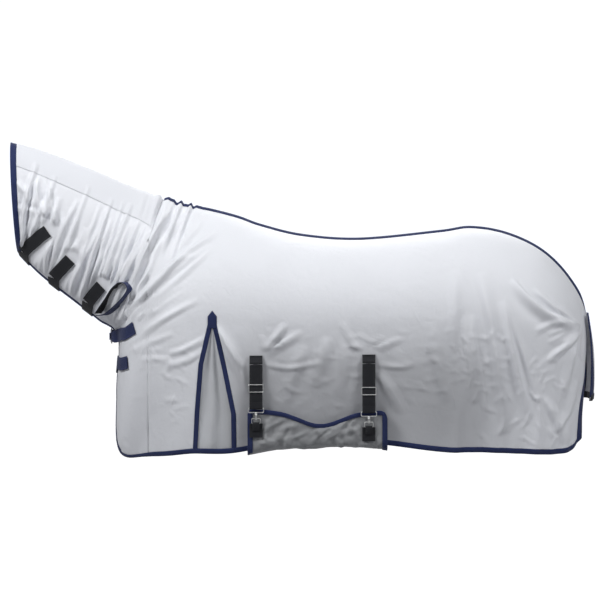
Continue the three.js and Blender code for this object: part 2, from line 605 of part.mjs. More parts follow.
const flapAt = (s, t) => {
  const x = lerp(...FLAP_X, s)
  const [u, v] = seenAt(x, -760)
  const flank = halfWidth(u, v)
  const hem = along(seenAt(x, -790)[0], (r) => r.bottom[1])
  const near = -flank - FLAP_OUT
  const route = new THREE.CatmullRomCurve3([
    [flank - 6, hem - 9], [flank - 40, hem - 17], [flank * 0.45, hem - 24], [0, hem - 26],
    [-flank * 0.5, hem - 24],
    [near + 34, hem - 21], [near + 8, hem - 15], [near, hem + 2], [near, rimHeight(x)],
  ].map(([y, z]) => new THREE.Vector3(x, y, z)), false, 'centripetal')
  const k = FLAP_STOPS[Math.round(t * (FLAP_STOPS.length - 1))] / 8
  const tangent = route.getTangent(k)
  return [route.getPoint(k), new THREE.Vector3(0, -tangent.z, tangent.y).normalize()]
}
add('belly_flap', skin(14, 14, flapAt, -CLOTH, 0), 'cloth')
const rimAt = (s, t) => {
  const x = lerp(...RIM_X, s)
  const flank = halfWidth(...seenAt(x, -700))
  const face = new THREE.Vector3(0, -1, 0)
  return [new THREE.Vector3(x, -flank - FLAP_OUT, rimHeight(x) - 1 - t * TAPE_WIDTH), face]
}
add('belly_flap_rim', skin(10, 1, rimAt, GAP, GAP + TAPE), 'navy')

// ---------------------------------------------------------------- tail flap
const TAIL_TOP = -298
const TAIL_LOW = -640
const TAIL_LIFT = CLOTH + GAP      // the bindings lie behind the cloth
const BOUND_PART = 0.93            // the side bindings stop above the hem
const tailAt = (s, t) => {
  const z = lerp(TAIL_TOP, TAIL_LOW, s)
  const half = lerp(95, 130, Math.min(s * 2, 1))
  const y = lerp(-half, half, t)
  const hang = 1134 + 24 * Math.sin(s * 2.4)
  const out = new THREE.Vector3(1, 0.3 * y / 130, 0).normalize()
  return [new THREE.Vector3(hang - 22 * (y / 130) ** 2, y, z), out]
}
add('tail_flap', skin(10, 8, tailAt, 0, CLOTH), 'cloth')
for (const [name, start, stop] of [['near', 0, 0.075], ['off', 0.925, 1]]) {
  const at = (s, t) => tailAt(s * BOUND_PART, lerp(start, stop, t))
  add(`tail_flap_binding_${name}`, skin(10, 2, at, TAIL_LIFT, TAIL_LIFT + TAPE), 'navy')
}
const footAt = (s, t) => tailAt(lerp(0.94, 1, t), s)
add('tail_flap_hem', skin(8, 2, footAt, TAIL_LIFT, TAIL_LIFT + TAPE), 'black')

export default sheet
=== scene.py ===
# %% [markdown]
# # A combo-neck fly sheet
# A fly sheet is a light mesh coat that keeps insects off a horse. Its neck cover is sewn to the body, so one
# cloth runs from the poll to the tail. Navy tape binds the edges, webbing and metal clips close it.
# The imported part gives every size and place; this lesson makes the cloth, tape, webbing and metal around it.

# %% Load the frame
import math

import bpy
import numpy as np
from mathutils import Matrix, Vector


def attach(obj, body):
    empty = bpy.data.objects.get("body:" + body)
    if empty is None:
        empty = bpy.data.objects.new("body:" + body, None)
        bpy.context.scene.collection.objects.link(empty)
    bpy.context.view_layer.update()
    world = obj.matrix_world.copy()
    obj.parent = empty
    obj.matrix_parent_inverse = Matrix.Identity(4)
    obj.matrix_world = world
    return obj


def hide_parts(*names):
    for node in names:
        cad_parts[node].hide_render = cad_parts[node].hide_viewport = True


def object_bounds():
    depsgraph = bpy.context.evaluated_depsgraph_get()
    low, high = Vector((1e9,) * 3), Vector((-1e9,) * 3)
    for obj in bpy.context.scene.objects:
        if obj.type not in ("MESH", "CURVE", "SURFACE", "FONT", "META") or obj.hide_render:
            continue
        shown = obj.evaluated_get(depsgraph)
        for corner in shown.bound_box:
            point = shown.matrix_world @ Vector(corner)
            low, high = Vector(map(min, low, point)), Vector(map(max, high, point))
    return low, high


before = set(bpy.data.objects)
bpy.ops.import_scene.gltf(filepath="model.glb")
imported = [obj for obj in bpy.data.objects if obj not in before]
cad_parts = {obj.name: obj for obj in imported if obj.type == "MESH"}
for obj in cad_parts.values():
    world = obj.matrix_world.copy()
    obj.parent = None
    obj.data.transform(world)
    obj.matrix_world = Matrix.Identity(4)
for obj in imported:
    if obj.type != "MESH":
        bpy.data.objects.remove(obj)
CAD_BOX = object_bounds()
bpy.ops.object.select_all(action="DESELECT")

# %% [markdown]
# ## Camera, floor and light
# The sheet is looked at squarely from its near side, from far off with a long lens, so that its outline
# hardly changes with depth. A soft panel overhead makes the back bright and lets the flanks fall to grey.
# One on the off side lights what the camera's own side hides, and two keys high on the left and right bring
# up the chest and the rump. The floor is pale and lies where the horse would stand.

# %% Camera
VIEW_WIDTH = 2.33
CAMERA_FAR = 10.0
CAMERA_RISE = math.radians(1.2)
AIM = Vector((0.0, -0.17, -0.246))
SENSOR = 36.0

camera_data = bpy.data.cameras.new("camera")
camera_data.sensor_width = SENSOR
camera_data.lens = SENSOR * CAMERA_FAR / VIEW_WIDTH
camera = bpy.data.objects.new("camera", camera_data)
bpy.context.scene.collection.objects.link(camera)
toward_camera = Vector((0, -math.cos(CAMERA_RISE), math.sin(CAMERA_RISE)))
camera.location = AIM + toward_camera * CAMERA_FAR
camera.rotation_euler = (-toward_camera).to_track_quat("-Z", "Y").to_euler()
bpy.context.scene.camera = camera
print("camera lens", round(camera_data.lens), "mm")

# %% Floor and lights
GROUND_BELOW_HEM = 0.65
floor_height = CAD_BOX[0].z - GROUND_BELOW_HEM


def area_light(name, place, aim, size, energy):
    """A soft square panel at place that faces aim."""
    data = bpy.data.lights.new(name, "AREA")
    data.size = size
    data.energy = energy
    lamp = bpy.data.objects.new(name, data)
    bpy.context.scene.collection.objects.link(lamp)
    lamp.location = place
    lamp.rotation_euler = (Vector(aim) - Vector(place)).to_track_quat("-Z", "Y").to_euler()
    return lamp


bpy.ops.mesh.primitive_plane_add(size=60, location=(0, 0, floor_height))
floor = bpy.context.object
floor.name = "floor"
pale = bpy.data.materials.new("pale_floor")
pale.use_nodes = True
pale_surface = pale.node_tree.nodes["Principled BSDF"]
pale_surface.inputs["Base Color"].default_value = (0.42, 0.42, 0.43, 1)
pale_surface.inputs["Roughness"].default_value = 0.9
pale_surface.inputs["Emission Color"].default_value = (1, 1, 1, 1)
looked_at = pale.node_tree.nodes.new("ShaderNodeLightPath")
pale.node_tree.links.new(looked_at.outputs["Is Camera Ray"], pale_surface.inputs["Emission Strength"])
floor.data.materials.append(pale)

area_light("overhead", (-0.1, -0.6, 3.4), (0, -0.1, -0.2), 2.4, 40)
area_light("off_side", (0.6, 3.4, 2.2), (0, 0.1, -0.3), 2.2, 105)
area_light("left_key", (-2.9, -2.4, 2.3), (-0.3, 0, -0.3), 1.4, 118)
area_light("right_key", (3.0, -2.4, 2.3), (0.4, 0, -0.3), 1.4, 88)

world = bpy.data.worlds.new("studio")
bpy.context.scene.world = world
world.use_nodes = True
world_nodes = world.node_tree.nodes
world_links = world.node_tree.links
backdrop = world_nodes["Background"]
backdrop.inputs["Color"].default_value = (0.90, 0.93, 1.0, 1)
seen_straight = world_nodes.new("ShaderNodeLightPath")
strength = world_nodes.new("ShaderNodeMapRange")
strength.inputs["To Min"].default_value = 0.11
strength.inputs["To Max"].default_value = 1.15
world_links.new(seen_straight.outputs["Is Camera Ray"], strength.inputs["Value"])
world_links.new(strength.outputs["Result"], backdrop.inputs["Strength"])
bpy.context.scene.view_settings.view_transform = "Standard"
print("floor at", round(floor_height, 3), "m")

# %% [markdown]
# ## Shared shader groups
# Cloth, tape and webbing are all woven and sewn, and each surface varies a little. Those three effects are
# groups: one makes a weave from a piece's own flat coordinates in metres, one a row of stitches, one a slow
# change of tone, and one more paints shade low on the barrel into the cloth's colour. The shaders themselves
# stay in each material.

# %% Shader groups


def calc(tree, operation, *values):
    """A Math node; each value is a number or an output to link."""
    step = tree.nodes.new("ShaderNodeMath")
    step.operation = operation
    for socket, value in zip(step.inputs, values):
        if isinstance(value, bpy.types.NodeSocket):
            tree.links.new(value, socket)
        else:
            socket.default_value = value
    return step.outputs[0]


def new_group(name, inputs, outputs):
    """An empty shader group with its named sockets; inputs are (kind, label, value)."""
    tree = bpy.data.node_groups.new(name, "ShaderNodeTree")
    for kind, label, value in inputs:
        socket = tree.interface.new_socket(label, in_out="INPUT", socket_type="NodeSocket" + kind)
        if value is not None:
            socket.default_value = value
    for label in outputs:
        tree.interface.new_socket(label, in_out="OUTPUT", socket_type="NodeSocketFloat")
    return tree, tree.nodes.new("NodeGroupInput"), tree.nodes.new("NodeGroupOutput")


def make_weave():
    """Threads that pass over and under: the height of the cloth, and its light and dark."""
    tree, given, result = new_group("weave", [("Vector", "Flat", None), ("Float", "Along", 900.0),
                                              ("Float", "Across", 900.0)], ["Height"])
    split = tree.nodes.new("ShaderNodeSeparateXYZ")
    tree.links.new(given.outputs["Flat"], split.inputs[0])
    waves = []
    for axis, label in ((0, "Along"), (1, "Across")):
        turns = calc(tree, "MULTIPLY", calc(tree, "MULTIPLY", split.outputs[axis], given.outputs[label]),
                     math.pi)
        waves.append(calc(tree, "SINE", turns))
    over = calc(tree, "MULTIPLY", *waves)
    tree.links.new(calc(tree, "MULTIPLY_ADD", over, 0.5, 0.5), result.inputs["Height"])
    return tree


def make_stitches():
    """A row of thread dashes at one distance across a piece: 1 on the thread and 0 beside it."""
    tree, given, result = new_group("stitches", [("Vector", "Flat", None), ("Float", "Row", 0.0),
                                                 ("Float", "Pitch", 0.004), ("Float", "Thick", 0.0006)],
                                                 ["Thread"])
    split = tree.nodes.new("ShaderNodeSeparateXYZ")
    tree.links.new(given.outputs["Flat"], split.inputs[0])
    step = calc(tree, "FRACT", calc(tree, "DIVIDE", split.outputs[0], given.outputs["Pitch"]))
    dash = calc(tree, "LESS_THAN", step, 0.7)
    gap = calc(tree, "ABSOLUTE", calc(tree, "SUBTRACT", split.outputs[1], given.outputs["Row"]))
    line = calc(tree, "LESS_THAN", gap, given.outputs["Thick"])
    tree.links.new(calc(tree, "MULTIPLY", dash, line), result.inputs["Thread"])
    return tree


def make_tone():
    """A slow, patchy change of tone, around 1."""
    tree, given, result = new_group("tone", [("Vector", "Place", None), ("Float", "Scale", 4.0),
                                             ("Float", "Amount", 0.06)], ["Tone"])
    noise = tree.nodes.new("ShaderNodeTexNoise")
    noise.inputs["Detail"].default_value = 5
    tree.links.new(given.outputs["Place"], noise.inputs["Vector"])
    tree.links.new(given.outputs["Scale"], noise.inputs["Scale"])
    centred = calc(tree, "SUBTRACT", noise.outputs["Fac"], 0.5)
    tree.links.new(calc(tree, "MULTIPLY_ADD", centred, calc(tree, "MULTIPLY", given.outputs["Amount"], 2.0),
                        1.0),
                   result.inputs["Tone"])
    return tree


def make_painted_shade():
    """Painted shade on the lower barrel, darker towards the belly: 1 where none is painted, less where it is.
    """
    tree, given, result = new_group("painted_shade", [("Vector", "Place", None), ("Float", "Depth", 0.36)], ["Clean"])
    split = tree.nodes.new("ShaderNodeSeparateXYZ")
    tree.links.new(given.outputs["Place"], split.inputs[0])
    noise = tree.nodes.new("ShaderNodeTexNoise")
    noise.inputs["Scale"].default_value = 3.5
    tree.links.new(given.outputs["Place"], noise.inputs["Vector"])
    height = calc(tree, "MULTIPLY_ADD", noise.outputs["Fac"], 0.16, split.outputs[2])
    masks = []
    for value, start, stop in ((height, -0.22, -0.46), (split.outputs[0], -0.40, -0.20),
                               (split.outputs[0], 0.95, 0.55)):
        ramp = tree.nodes.new("ShaderNodeMapRange")
        ramp.interpolation_type = "SMOOTHSTEP"
        ramp.inputs["From Min"].default_value = start
        ramp.inputs["From Max"].default_value = stop
        tree.links.new(value, ramp.inputs["Value"])
        masks.append(ramp.outputs["Result"])
    painted_shade_mask = calc(tree, "MULTIPLY", calc(tree, "MULTIPLY", masks[0], masks[1]), masks[2])
    shade = calc(tree, "MULTIPLY", painted_shade_mask, given.outputs["Depth"])
    tree.links.new(calc(tree, "SUBTRACT", 1.0, shade), result.inputs["Clean"])
    return tree


GROUPS = {"weave": make_weave(), "stitches": make_stitches(), "tone": make_tone(), "painted_shade": make_painted_shade()}
print("shader groups:", ", ".join(GROUPS))

# %% [markdown]
# ## Finishes
# The cloth is a fine pale mesh with a silky sheen and a few soft creases too small to model. The tape and
# the webbing are coarser weaves with a line of stitches near each edge. The metal is nickel-plated wire,
# brushed and a little worn. Each finish places the groups with its own thread counts.

# %% Finish builders


def place_group(tree, name, **values):
    """A shared group in a material, with its own values or links."""
    box = tree.nodes.new("ShaderNodeGroup")
    box.node_tree = GROUPS[name]
    for label, value in values.items():
        if isinstance(value, bpy.types.NodeSocket):
            tree.links.new(value, box.inputs[label])
        else:
            box.inputs[label].default_value = value
    return box.outputs[0]


def tinted(tree, colour, factor):
    """The colour times a changing factor."""
    mix = tree.nodes.new("ShaderNodeVectorMath")
    mix.operation = "SCALE"
    mix.inputs[0].default_value = colour
    tree.links.new(factor, mix.inputs["Scale"])
    return mix.outputs[0]


def bumped(tree, height, distance, strength=1.0, under=None):
    """A Bump node; under is another bump that it adds to."""
    bump = tree.nodes.new("ShaderNodeBump")
    bump.inputs["Distance"].default_value = distance
    bump.inputs["Strength"].default_value = strength
    tree.links.new(height, bump.inputs["Height"])
    if under is not None:
        tree.links.new(under, bump.inputs["Normal"])
    return bump.outputs[0]


def start_finish(name, roughness, **fixed):
    """A material with its Principled surface, its flat coordinates and its place in the object."""
    material = bpy.data.materials.new(name)
    material.use_nodes = True
    tree = material.node_tree
    surface = tree.nodes["Principled BSDF"]
    surface.inputs["Roughness"].default_value = roughness
    for label, value in fixed.items():
        surface.inputs[label.replace("_", " ")].default_value = value
    flat = tree.nodes.new("ShaderNodeUVMap")
    flat.uv_map = "flat"
    place = tree.nodes.new("ShaderNodeTexCoord")
    return material, tree, surface, flat.outputs[0], place.outputs["Object"]


def cloth_finish(name, colour, crumple=0.0020, amount=0.06):
    """Fine mesh cloth: a plain weave, a sheen, small soft creases and painted shade low on the barrel."""
    material, tree, surface, flat, place = start_finish(
        name, 0.62, Sheen_Weight=0.25, Sheen_Roughness=0.45, Specular_IOR_Level=0.35)
    weave = place_group(tree, "weave", Flat=flat, Along=900.0, Across=900.0)
    tone = place_group(tree, "tone", Place=place, Scale=3.0, Amount=amount)
    # Painted shade: the group placed here darkens the cloth's colour low on the barrel.
    unshaded = place_group(tree, "painted_shade", Place=place)
    thread = calc(tree, "MULTIPLY", calc(tree, "MULTIPLY_ADD", weave, 0.07, 0.965), unshaded)
    tree.links.new(tinted(tree, colour, calc(tree, "MULTIPLY", thread, tone)), surface.inputs["Base Color"])
    soft = None
    for kind, scale, height in (("FBM", 26, crumple), ("RIDGED_MULTIFRACTAL", 7.5, crumple * 1.6)):
        creases = tree.nodes.new("ShaderNodeTexNoise")
        creases.noise_type = kind
        creases.inputs["Scale"].default_value = scale
        creases.inputs["Detail"].default_value = 3
        creases.inputs["Distortion"].default_value = 1.2
        tree.links.new(place, creases.inputs["Vector"])
        soft = bumped(tree, creases.outputs["Fac"], height, 0.6, soft)
    tree.links.new(bumped(tree, weave, 0.00025, 0.5, soft), surface.inputs["Normal"])
    return material


def woven_finish(name, colour, thread_colour, threads, rows, roughness=0.75):
    """Tape or webbing: a ribbed weave, with rows of stitches at these distances across."""
    material, tree, surface, flat, place = start_finish(
        name, roughness, Sheen_Weight=0.15, Sheen_Roughness=0.5, Specular_IOR_Level=0.3)
    weave = place_group(tree, "weave", Flat=flat, Along=threads[0], Across=threads[1])
    tone = place_group(tree, "tone", Place=place, Scale=9.0, Amount=0.22)
    shade = calc(tree, "MULTIPLY", calc(tree, "MULTIPLY_ADD", weave, 0.5, 0.75), tone)
    thread = None
    for row in rows:
        line = place_group(tree, "stitches", Flat=flat, Row=row)
        thread = line if thread is None else calc(tree, "MAXIMUM", thread, line)
    base = tree.nodes.new("ShaderNodeMix")
    base.data_type = "RGBA"
    tree.links.new(thread, base.inputs["Factor"])
    tree.links.new(tinted(tree, colour, shade), base.inputs["A"])
    base.inputs["B"].default_value = (*thread_colour, 1)
    tree.links.new(base.outputs["Result"], surface.inputs["Base Color"])
    height = calc(tree, "MULTIPLY_ADD", thread, 0.8, weave)
    tree.links.new(bumped(tree, height, 0.0005, 0.8), surface.inputs["Normal"])
    return material


def metal_finish(name, colour):
    """Plated wire: brushed along, duller where hands and webbing rub it."""
    material, tree, surface, flat, place = start_finish(name, 0.32)
    surface.inputs["Metallic"].default_value = 1.0
    tone = place_group(tree, "tone", Place=place, Scale=60.0, Amount=0.25)
    tree.links.new(tinted(tree, colour, tone), surface.inputs["Base Color"])
    rub = tree.nodes.new("ShaderNodeTexNoise")
    rub.inputs["Scale"].default_value = 180
    rub.inputs["Detail"].default_value = 6
    tree.links.new(place, rub.inputs["Vector"])
    tree.links.new(calc(tree, "MULTIPLY_ADD", rub.outputs["Fac"], 0.22, 0.24), surface.inputs["Roughness"])
    tree.links.new(bumped(tree, rub.outputs["Fac"], 0.0001, 0.35), surface.inputs["Normal"])
    return material


# %% The finishes
TAPE_WIDTH = 0.019
STRAP_WIDTH = 0.050
STRAP_ROWS = (0.003, 0.006, STRAP_WIDTH - 0.006, STRAP_WIDTH - 0.003)
SILVER = (0.760, 0.775, 0.815)
NAVY = (0.011, 0.021, 0.088)
BLACK = (0.010, 0.011, 0.015)

FINISH = {
    "cloth": cloth_finish("silver_mesh", SILVER),
    "double_cloth": cloth_finish("silver_mesh_double", (0.70, 0.715, 0.755), 0.0012, 0.05),
    # The gusset's darker silver is painted shade, for its recess behind the slit.
    "gusset_cloth_shaded": cloth_finish("silver_mesh_gusset_painted_shade", (0.60, 0.615, 0.645)),
    # The flap's dark silver is painted shade, for its place under the belly.
    "flap_cloth_shaded": cloth_finish("silver_mesh_flap_painted_shade", (0.44, 0.452, 0.47), 0.0022, 0.12),
    "tape": woven_finish("navy_tape", NAVY, (0.035, 0.05, 0.15), (700.0, 1100.0), (0.0025, TAPE_WIDTH * 2)),
    "navy_webbing": woven_finish("navy_webbing", (0.012, 0.021, 0.082), (0.04, 0.055, 0.15), (420.0, 800.0),
                                 STRAP_ROWS),
    "black_webbing": woven_finish("black_webbing", BLACK, (0.035, 0.036, 0.04), (420.0, 800.0), STRAP_ROWS),
    "steel": metal_finish("plated_wire", (0.92, 0.92, 0.91)),
}
print("finishes:", ", ".join(FINISH))

# %% [markdown]
# ## The form under the cloth
# The cloth hangs on a horse that isn't there. Ribs run over it from the top line to the lower edge, from
# the poll to the dock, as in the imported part, and a smooth curve joins them. A place on the cloth is u,
# which counts ribs, and v, from 0 at the top to 1 at the lower edge; side is -1 for near and 1 for off.

# %% The form
RIBS = np.array([
    # top x, top z, lower x, lower z, half width, hem half width, roundness, widest at, closed below
    (-1.140, 0.372, -1.112, -0.059, 0.100, 0.012, 1.70, 0.52, 1.00),
    (-1.009, 0.336, -1.020, -0.152, 0.108, 0.012, 1.60, 0.52, 1.00),
    (-0.807, 0.259, -0.885, -0.257, 0.122, 0.012, 1.50, 0.52, 1.00),
    (-0.679, 0.204, -0.795, -0.327, 0.148, 0.012, 1.45, 0.52, 1.00),
    (-0.574, 0.166, -0.716, -0.398, 0.188, 0.012, 1.40, 0.50, 1.00),
    (-0.481, 0.131, -0.722, -0.618, 0.232, 0.022, 1.40, 0.48, 0.85),
    (-0.411, 0.115, -0.707, -0.845, 0.268, 0.060, 1.45, 0.46, 0.50),
    (-0.341, 0.100, -0.560, -0.849, 0.296, 0.205, 1.50, 0.44, 0.10),
    (-0.244, 0.074, -0.407, -0.833, 0.316, 0.288, 1.60, 0.42, 0.00),
    (-0.155, 0.042, -0.256, -0.829, 0.330, 0.322, 1.75, 0.42, 0.00),
    (0.008, 0.003, -0.040, -0.794, 0.335, 0.334, 1.85, 0.42, 0.00),
    (0.237, -0.012, 0.240, -0.790, 0.335, 0.334, 1.90, 0.42, 0.00),
    (0.551, 0.018, 0.540, -0.826, 0.330, 0.326, 1.90, 0.42, 0.00),
    (0.675, 0.034, 0.660, -0.830, 0.318, 0.306, 1.90, 0.42, 0.00),
    (0.815, 0.010, 0.780, -0.833, 0.300, 0.285, 1.85, 0.42, 0.00),
    (0.951, -0.055, 0.890, -0.837, 0.270, 0.262, 1.80, 0.42, 0.00),
    (1.055, -0.158, 0.985, -0.840, 0.225, 0.230, 1.75, 0.42, 0.00),
    (1.125, -0.290, 1.055, -0.828, 0.150, 0.182, 1.60, 0.45, 0.00),
    (1.123, -0.440, 1.094, -0.785, 0.112, 0.128, 1.50, 0.50, 0.00),
])
DOCK = len(RIBS) - 1
WITHERS = 4.35
CHEST_CORNER = 6
CREST_DROP = 0.19
SEAM = 0.0008
SIDES = (("near", -1), ("off", 1))


def along(u, column):
    """A smooth curve through one value of every rib."""
    i = np.clip(np.floor(u).astype(int), 0, DOCK - 1)
    t = u - i
    a, b, c, d = (RIBS[np.clip(i + k, 0, DOCK), column] for k in (-1, 0, 1, 2))
    return b + 0.5 * t * (c - a + t * (2 * a - 5 * b + 4 * c - d + t * (3 * (b - c) + d - a)))


def form(side, u, v):
    """Points of the smooth form at u, v."""
    top_x, top_z, low_x, low_z, half, hem, roundness, wide, close = (along(u, k) for k in range(9))
    up = 1 - np.minimum(v / wide, 1)
    over = half * (1 - up ** 2) ** (1 / roundness)
    t = np.clip((v - wide) / (1 - wide), 0, 1)
    closed = hem + (half - hem) * np.sqrt(1 - t ** 2)
    opened = half + (hem - half) * t ** 2
    y = np.where(v < wide, over, opened + (closed - opened) * close)
    x = top_x + (low_x - top_x) * v
    z = top_z + (low_z - top_z) * v
    return np.stack([x, side * np.maximum(y, SEAM), z], -1)


def unit(vectors):
    return vectors / np.maximum(np.linalg.norm(vectors, axis=-1, keepdims=True), 1e-12)


def facing(side, u, v):
    """The outward direction of the form at u, v."""
    step = 0.004
    back = form(side, np.minimum(u + step, DOCK), v) - form(side, np.maximum(u - step, 0), v)
    down = form(side, u, np.minimum(v + step, 1)) - form(side, u, np.maximum(v - step, 0))
    return unit(np.cross(back, down) * side)


def seen_at(x, z):
    """The u, v of the form that is seen from the side at x, z."""
    x, z = np.broadcast_arrays(np.asarray(x, float), np.asarray(z, float))
    low, high = np.zeros(x.shape), np.full(x.shape, float(DOCK))
    for _ in range(36):
        u = (low + high) / 2
        ax, az, bx, bz = (along(u, k) for k in range(4))
        behind = (bx - ax) * (z - az) - (bz - az) * (x - ax) > 0
        low, high = np.where(behind, u, low), np.where(behind, high, u)
    az, bz = along(low, 1), along(low, 3)
    return low, np.clip((z - az) / (bz - az), 0, 1)


print("form from", form(-1, np.array([0.0]), np.array([0.0]))[0].round(3), "to the dock")

# %% [markdown]
# ## Folds
# Cloth shows where it is pulled: folds run between two places that hold it, fan out from a strap's end, and
# hang where it is loose. Each fold is a line on the cloth seen from the side, with a width and a height,
# and lifts the cloth into a ridge with a shallow trough beside it. A cloth simulation would need the horse,
# and its folds would not fall at the straps, so the folds are drawn, most of them by a few rules for fans
# and gathers.

# %% Fold tools
rng = np.random.default_rng(7)


def smooth_line(points, steps=12):
    """A smooth line through a few points."""
    p = np.asarray(points, float)
    p = np.vstack([2 * p[0] - p[1], p, 2 * p[-1] - p[-2]])
    t = np.linspace(0, len(points) - 1.0001, steps + 1)
    i = np.floor(t).astype(int)
    f = (t - i)[:, None]
    a, b, c, d = (p[i + k] for k in range(4))
    return b + 0.5 * f * (c - a + f * (2 * a - 5 * b + 4 * c - d + f * (3 * (b - c) + d - a)))


def fold(points, width, height, skew=0.25):
    """One fold: its line, how wide and high it is, and how far it leans over."""
    return smooth_line(points), width, height, skew


def fan(centre, start, stop, count, reach, width, height, gap=0.03):
    """Folds that spread from one place, between two directions in degrees from the tail, upwards."""
    folds = []
    for k in range(count):
        turn = math.radians(start + (stop - start) * (k + rng.uniform(0.2, 0.8)) / count)
        bend = turn + rng.uniform(-0.35, 0.35)
        far = reach * rng.uniform(0.6, 1.1)
        a = np.array([math.cos(turn), math.sin(turn)])
        b = np.array([math.cos(bend), math.sin(bend)])
        c = np.asarray(centre)
        line = [c + a * gap * 0.4, c + a * (gap + far * 0.35), c + a * far * 0.5 + b * far * 0.5]
        folds.append(fold(line, width * rng.uniform(0.7, 1.3), height * rng.uniform(0.6, 1.2),
                          rng.uniform(-0.4, 0.4)))
    return folds


def neck_gathers(count=58):
    """Folds that rise from the throat, where the neck straps draw the cloth together."""
    folds = []
    for k in range(count):
        u = 0.25 + 4.0 * (k + rng.uniform(0.1, 0.9)) / count
        rise = rng.uniform(0.10, 0.6)
        lean = rng.uniform(0.20, 0.55)
        us = np.array([u, u + lean * 0.35, u + lean])
        vs = np.array([0.965, 0.5 + rise * 0.55, rise])
        line = form(-1, np.minimum(us, 5.2), vs)[:, [0, 2]]
        size = rng.uniform(0.5, 1.0)
        folds.append(fold(line, 0.0045 + 0.0055 * size, 0.0120 * size, rng.uniform(-0.45, 0.45)))
    return folds


def crumples(count, low, high, length, height, width=(0.004, 0.009)):
    """Short shallow creases in a region, at any angle."""
    folds = []
    for _ in range(count):
        c = rng.uniform(low, high)
        turn = rng.uniform(0, math.pi)
        half = length * rng.uniform(0.4, 1.0) / 2
        a = np.array([math.cos(turn), math.sin(turn)])
        side_step = np.array([-a[1], a[0]]) * rng.uniform(-0.25, 0.25) * half
        folds.append(fold([c - a * half, c + side_step, c + a * half], rng.uniform(*width),
                          height * rng.uniform(0.4, 1.0), rng.uniform(-0.4, 0.4)))
    return folds


def between(first, last, count, width, height):
    """Narrow folds spread between two lines of the same number of points."""
    folds = []
    for k in range(count):
        share = (k + rng.uniform(0.1, 0.9)) / count
        line = np.array(first) * (1 - share) + np.array(last) * share
        trim = rng.uniform(0.0, 0.35, 2)
        ends = smooth_line(line, 8)
        keep = ends[int(8 * trim[0]):9 - int(8 * trim[1])]
        folds.append(fold(keep[::2] if len(keep) > 5 else keep, width * rng.uniform(0.7, 1.2),
                          height * rng.uniform(0.5, 1.2),
                          rng.uniform(-0.4, 0.4)))
    return folds


def lift_by(x, z, one):
    """How far one fold lifts the cloth at each x, z."""
    line, width, height, skew = one
    lift = np.zeros(x.shape)
    reach = 5 * width
    low, high = line.min(0) - reach, line.max(0) + reach
    near = np.nonzero((x > low[0]) & (x < high[0]) & (z > low[1]) & (z < high[1]))
    if not len(near[0]):
        return lift
    p = np.stack([x[near], z[near]], -1)
    best = np.full(len(p), np.inf)
    where = np.zeros(len(p))
    hand = np.zeros(len(p))
    for k in range(len(line) - 1):
        run = line[k + 1] - line[k]
        t = np.clip((p - line[k]) @ run / (run @ run), 0, 1)
        gap = p - line[k] - t[:, None] * run
        far = (gap ** 2).sum(1)
        closer = far < best
        best = np.where(closer, far, best)
        where = np.where(closer, (k + t) / (len(line) - 1), where)
        hand = np.where(closer, np.sign(run[0] * gap[:, 1] - run[1] * gap[:, 0]), hand)
    q = np.sqrt(best) / (width * (1 + skew * hand))
    taper = np.sin(np.pi * np.clip(where, 0, 1)) ** 0.7
    lift[near] = height * taper * (1 - 0.55 * q ** 2) * np.exp(-0.5 * q ** 2)
    return lift


# %% Fold lines
CHEST_CLIP = (-0.725, -0.375)       # where the chest closure pulls, seen from the side
TAIL_TIE = (1.098, -0.352)          # where the tail cord pulls
GUSSET_TOP = (-0.336, -0.300)

shoulder_folds = [
    fold([(-0.712, -0.345), (-0.582, -0.218), (-0.470, -0.106), (-0.400, -0.070)], 0.008, 0.0085, 0.3),
    fold([(-0.640, -0.262), (-0.499, -0.116), (-0.407, -0.040), (-0.318, 0.020)], 0.010, 0.0100, -0.3),
    fold([(-0.600, -0.245), (-0.500, -0.150), (-0.430, -0.095), (-0.345, -0.030)], 0.008, 0.0070, 0.2),
    fold([(-0.553, -0.240), (-0.438, -0.135), (-0.331, -0.035)], 0.009, 0.0055, -0.2),
    fold([(-0.712, -0.447), (-0.558, -0.343), (-0.479, -0.294), (-0.388, -0.246)], 0.010, 0.0075, 0.3),
    fold([(-0.700, -0.462), (-0.578, -0.412), (-0.485, -0.374)], 0.009, 0.0045, 0.2),
    fold([(-0.737, -0.362), (-0.640, -0.250), (-0.543, -0.149), (-0.427, -0.063)], 0.007, 0.0065, -0.3),
    fold([(-0.655, -0.130), (-0.600, -0.060), (-0.555, 0.030), (-0.505, 0.115)], 0.016, 0.0130, 0.3),
    fold([(-0.600, -0.110), (-0.520, 0.000), (-0.470, 0.075)], 0.014, 0.0060, -0.2),
    fold([(-0.480, -0.060), (-0.410, 0.020), (-0.375, 0.080)], 0.012, 0.0050, 0.2),
    fold([(-0.690, -0.330), (-0.600, -0.170), (-0.560, -0.080)], 0.008, 0.0055, 0.3),
]
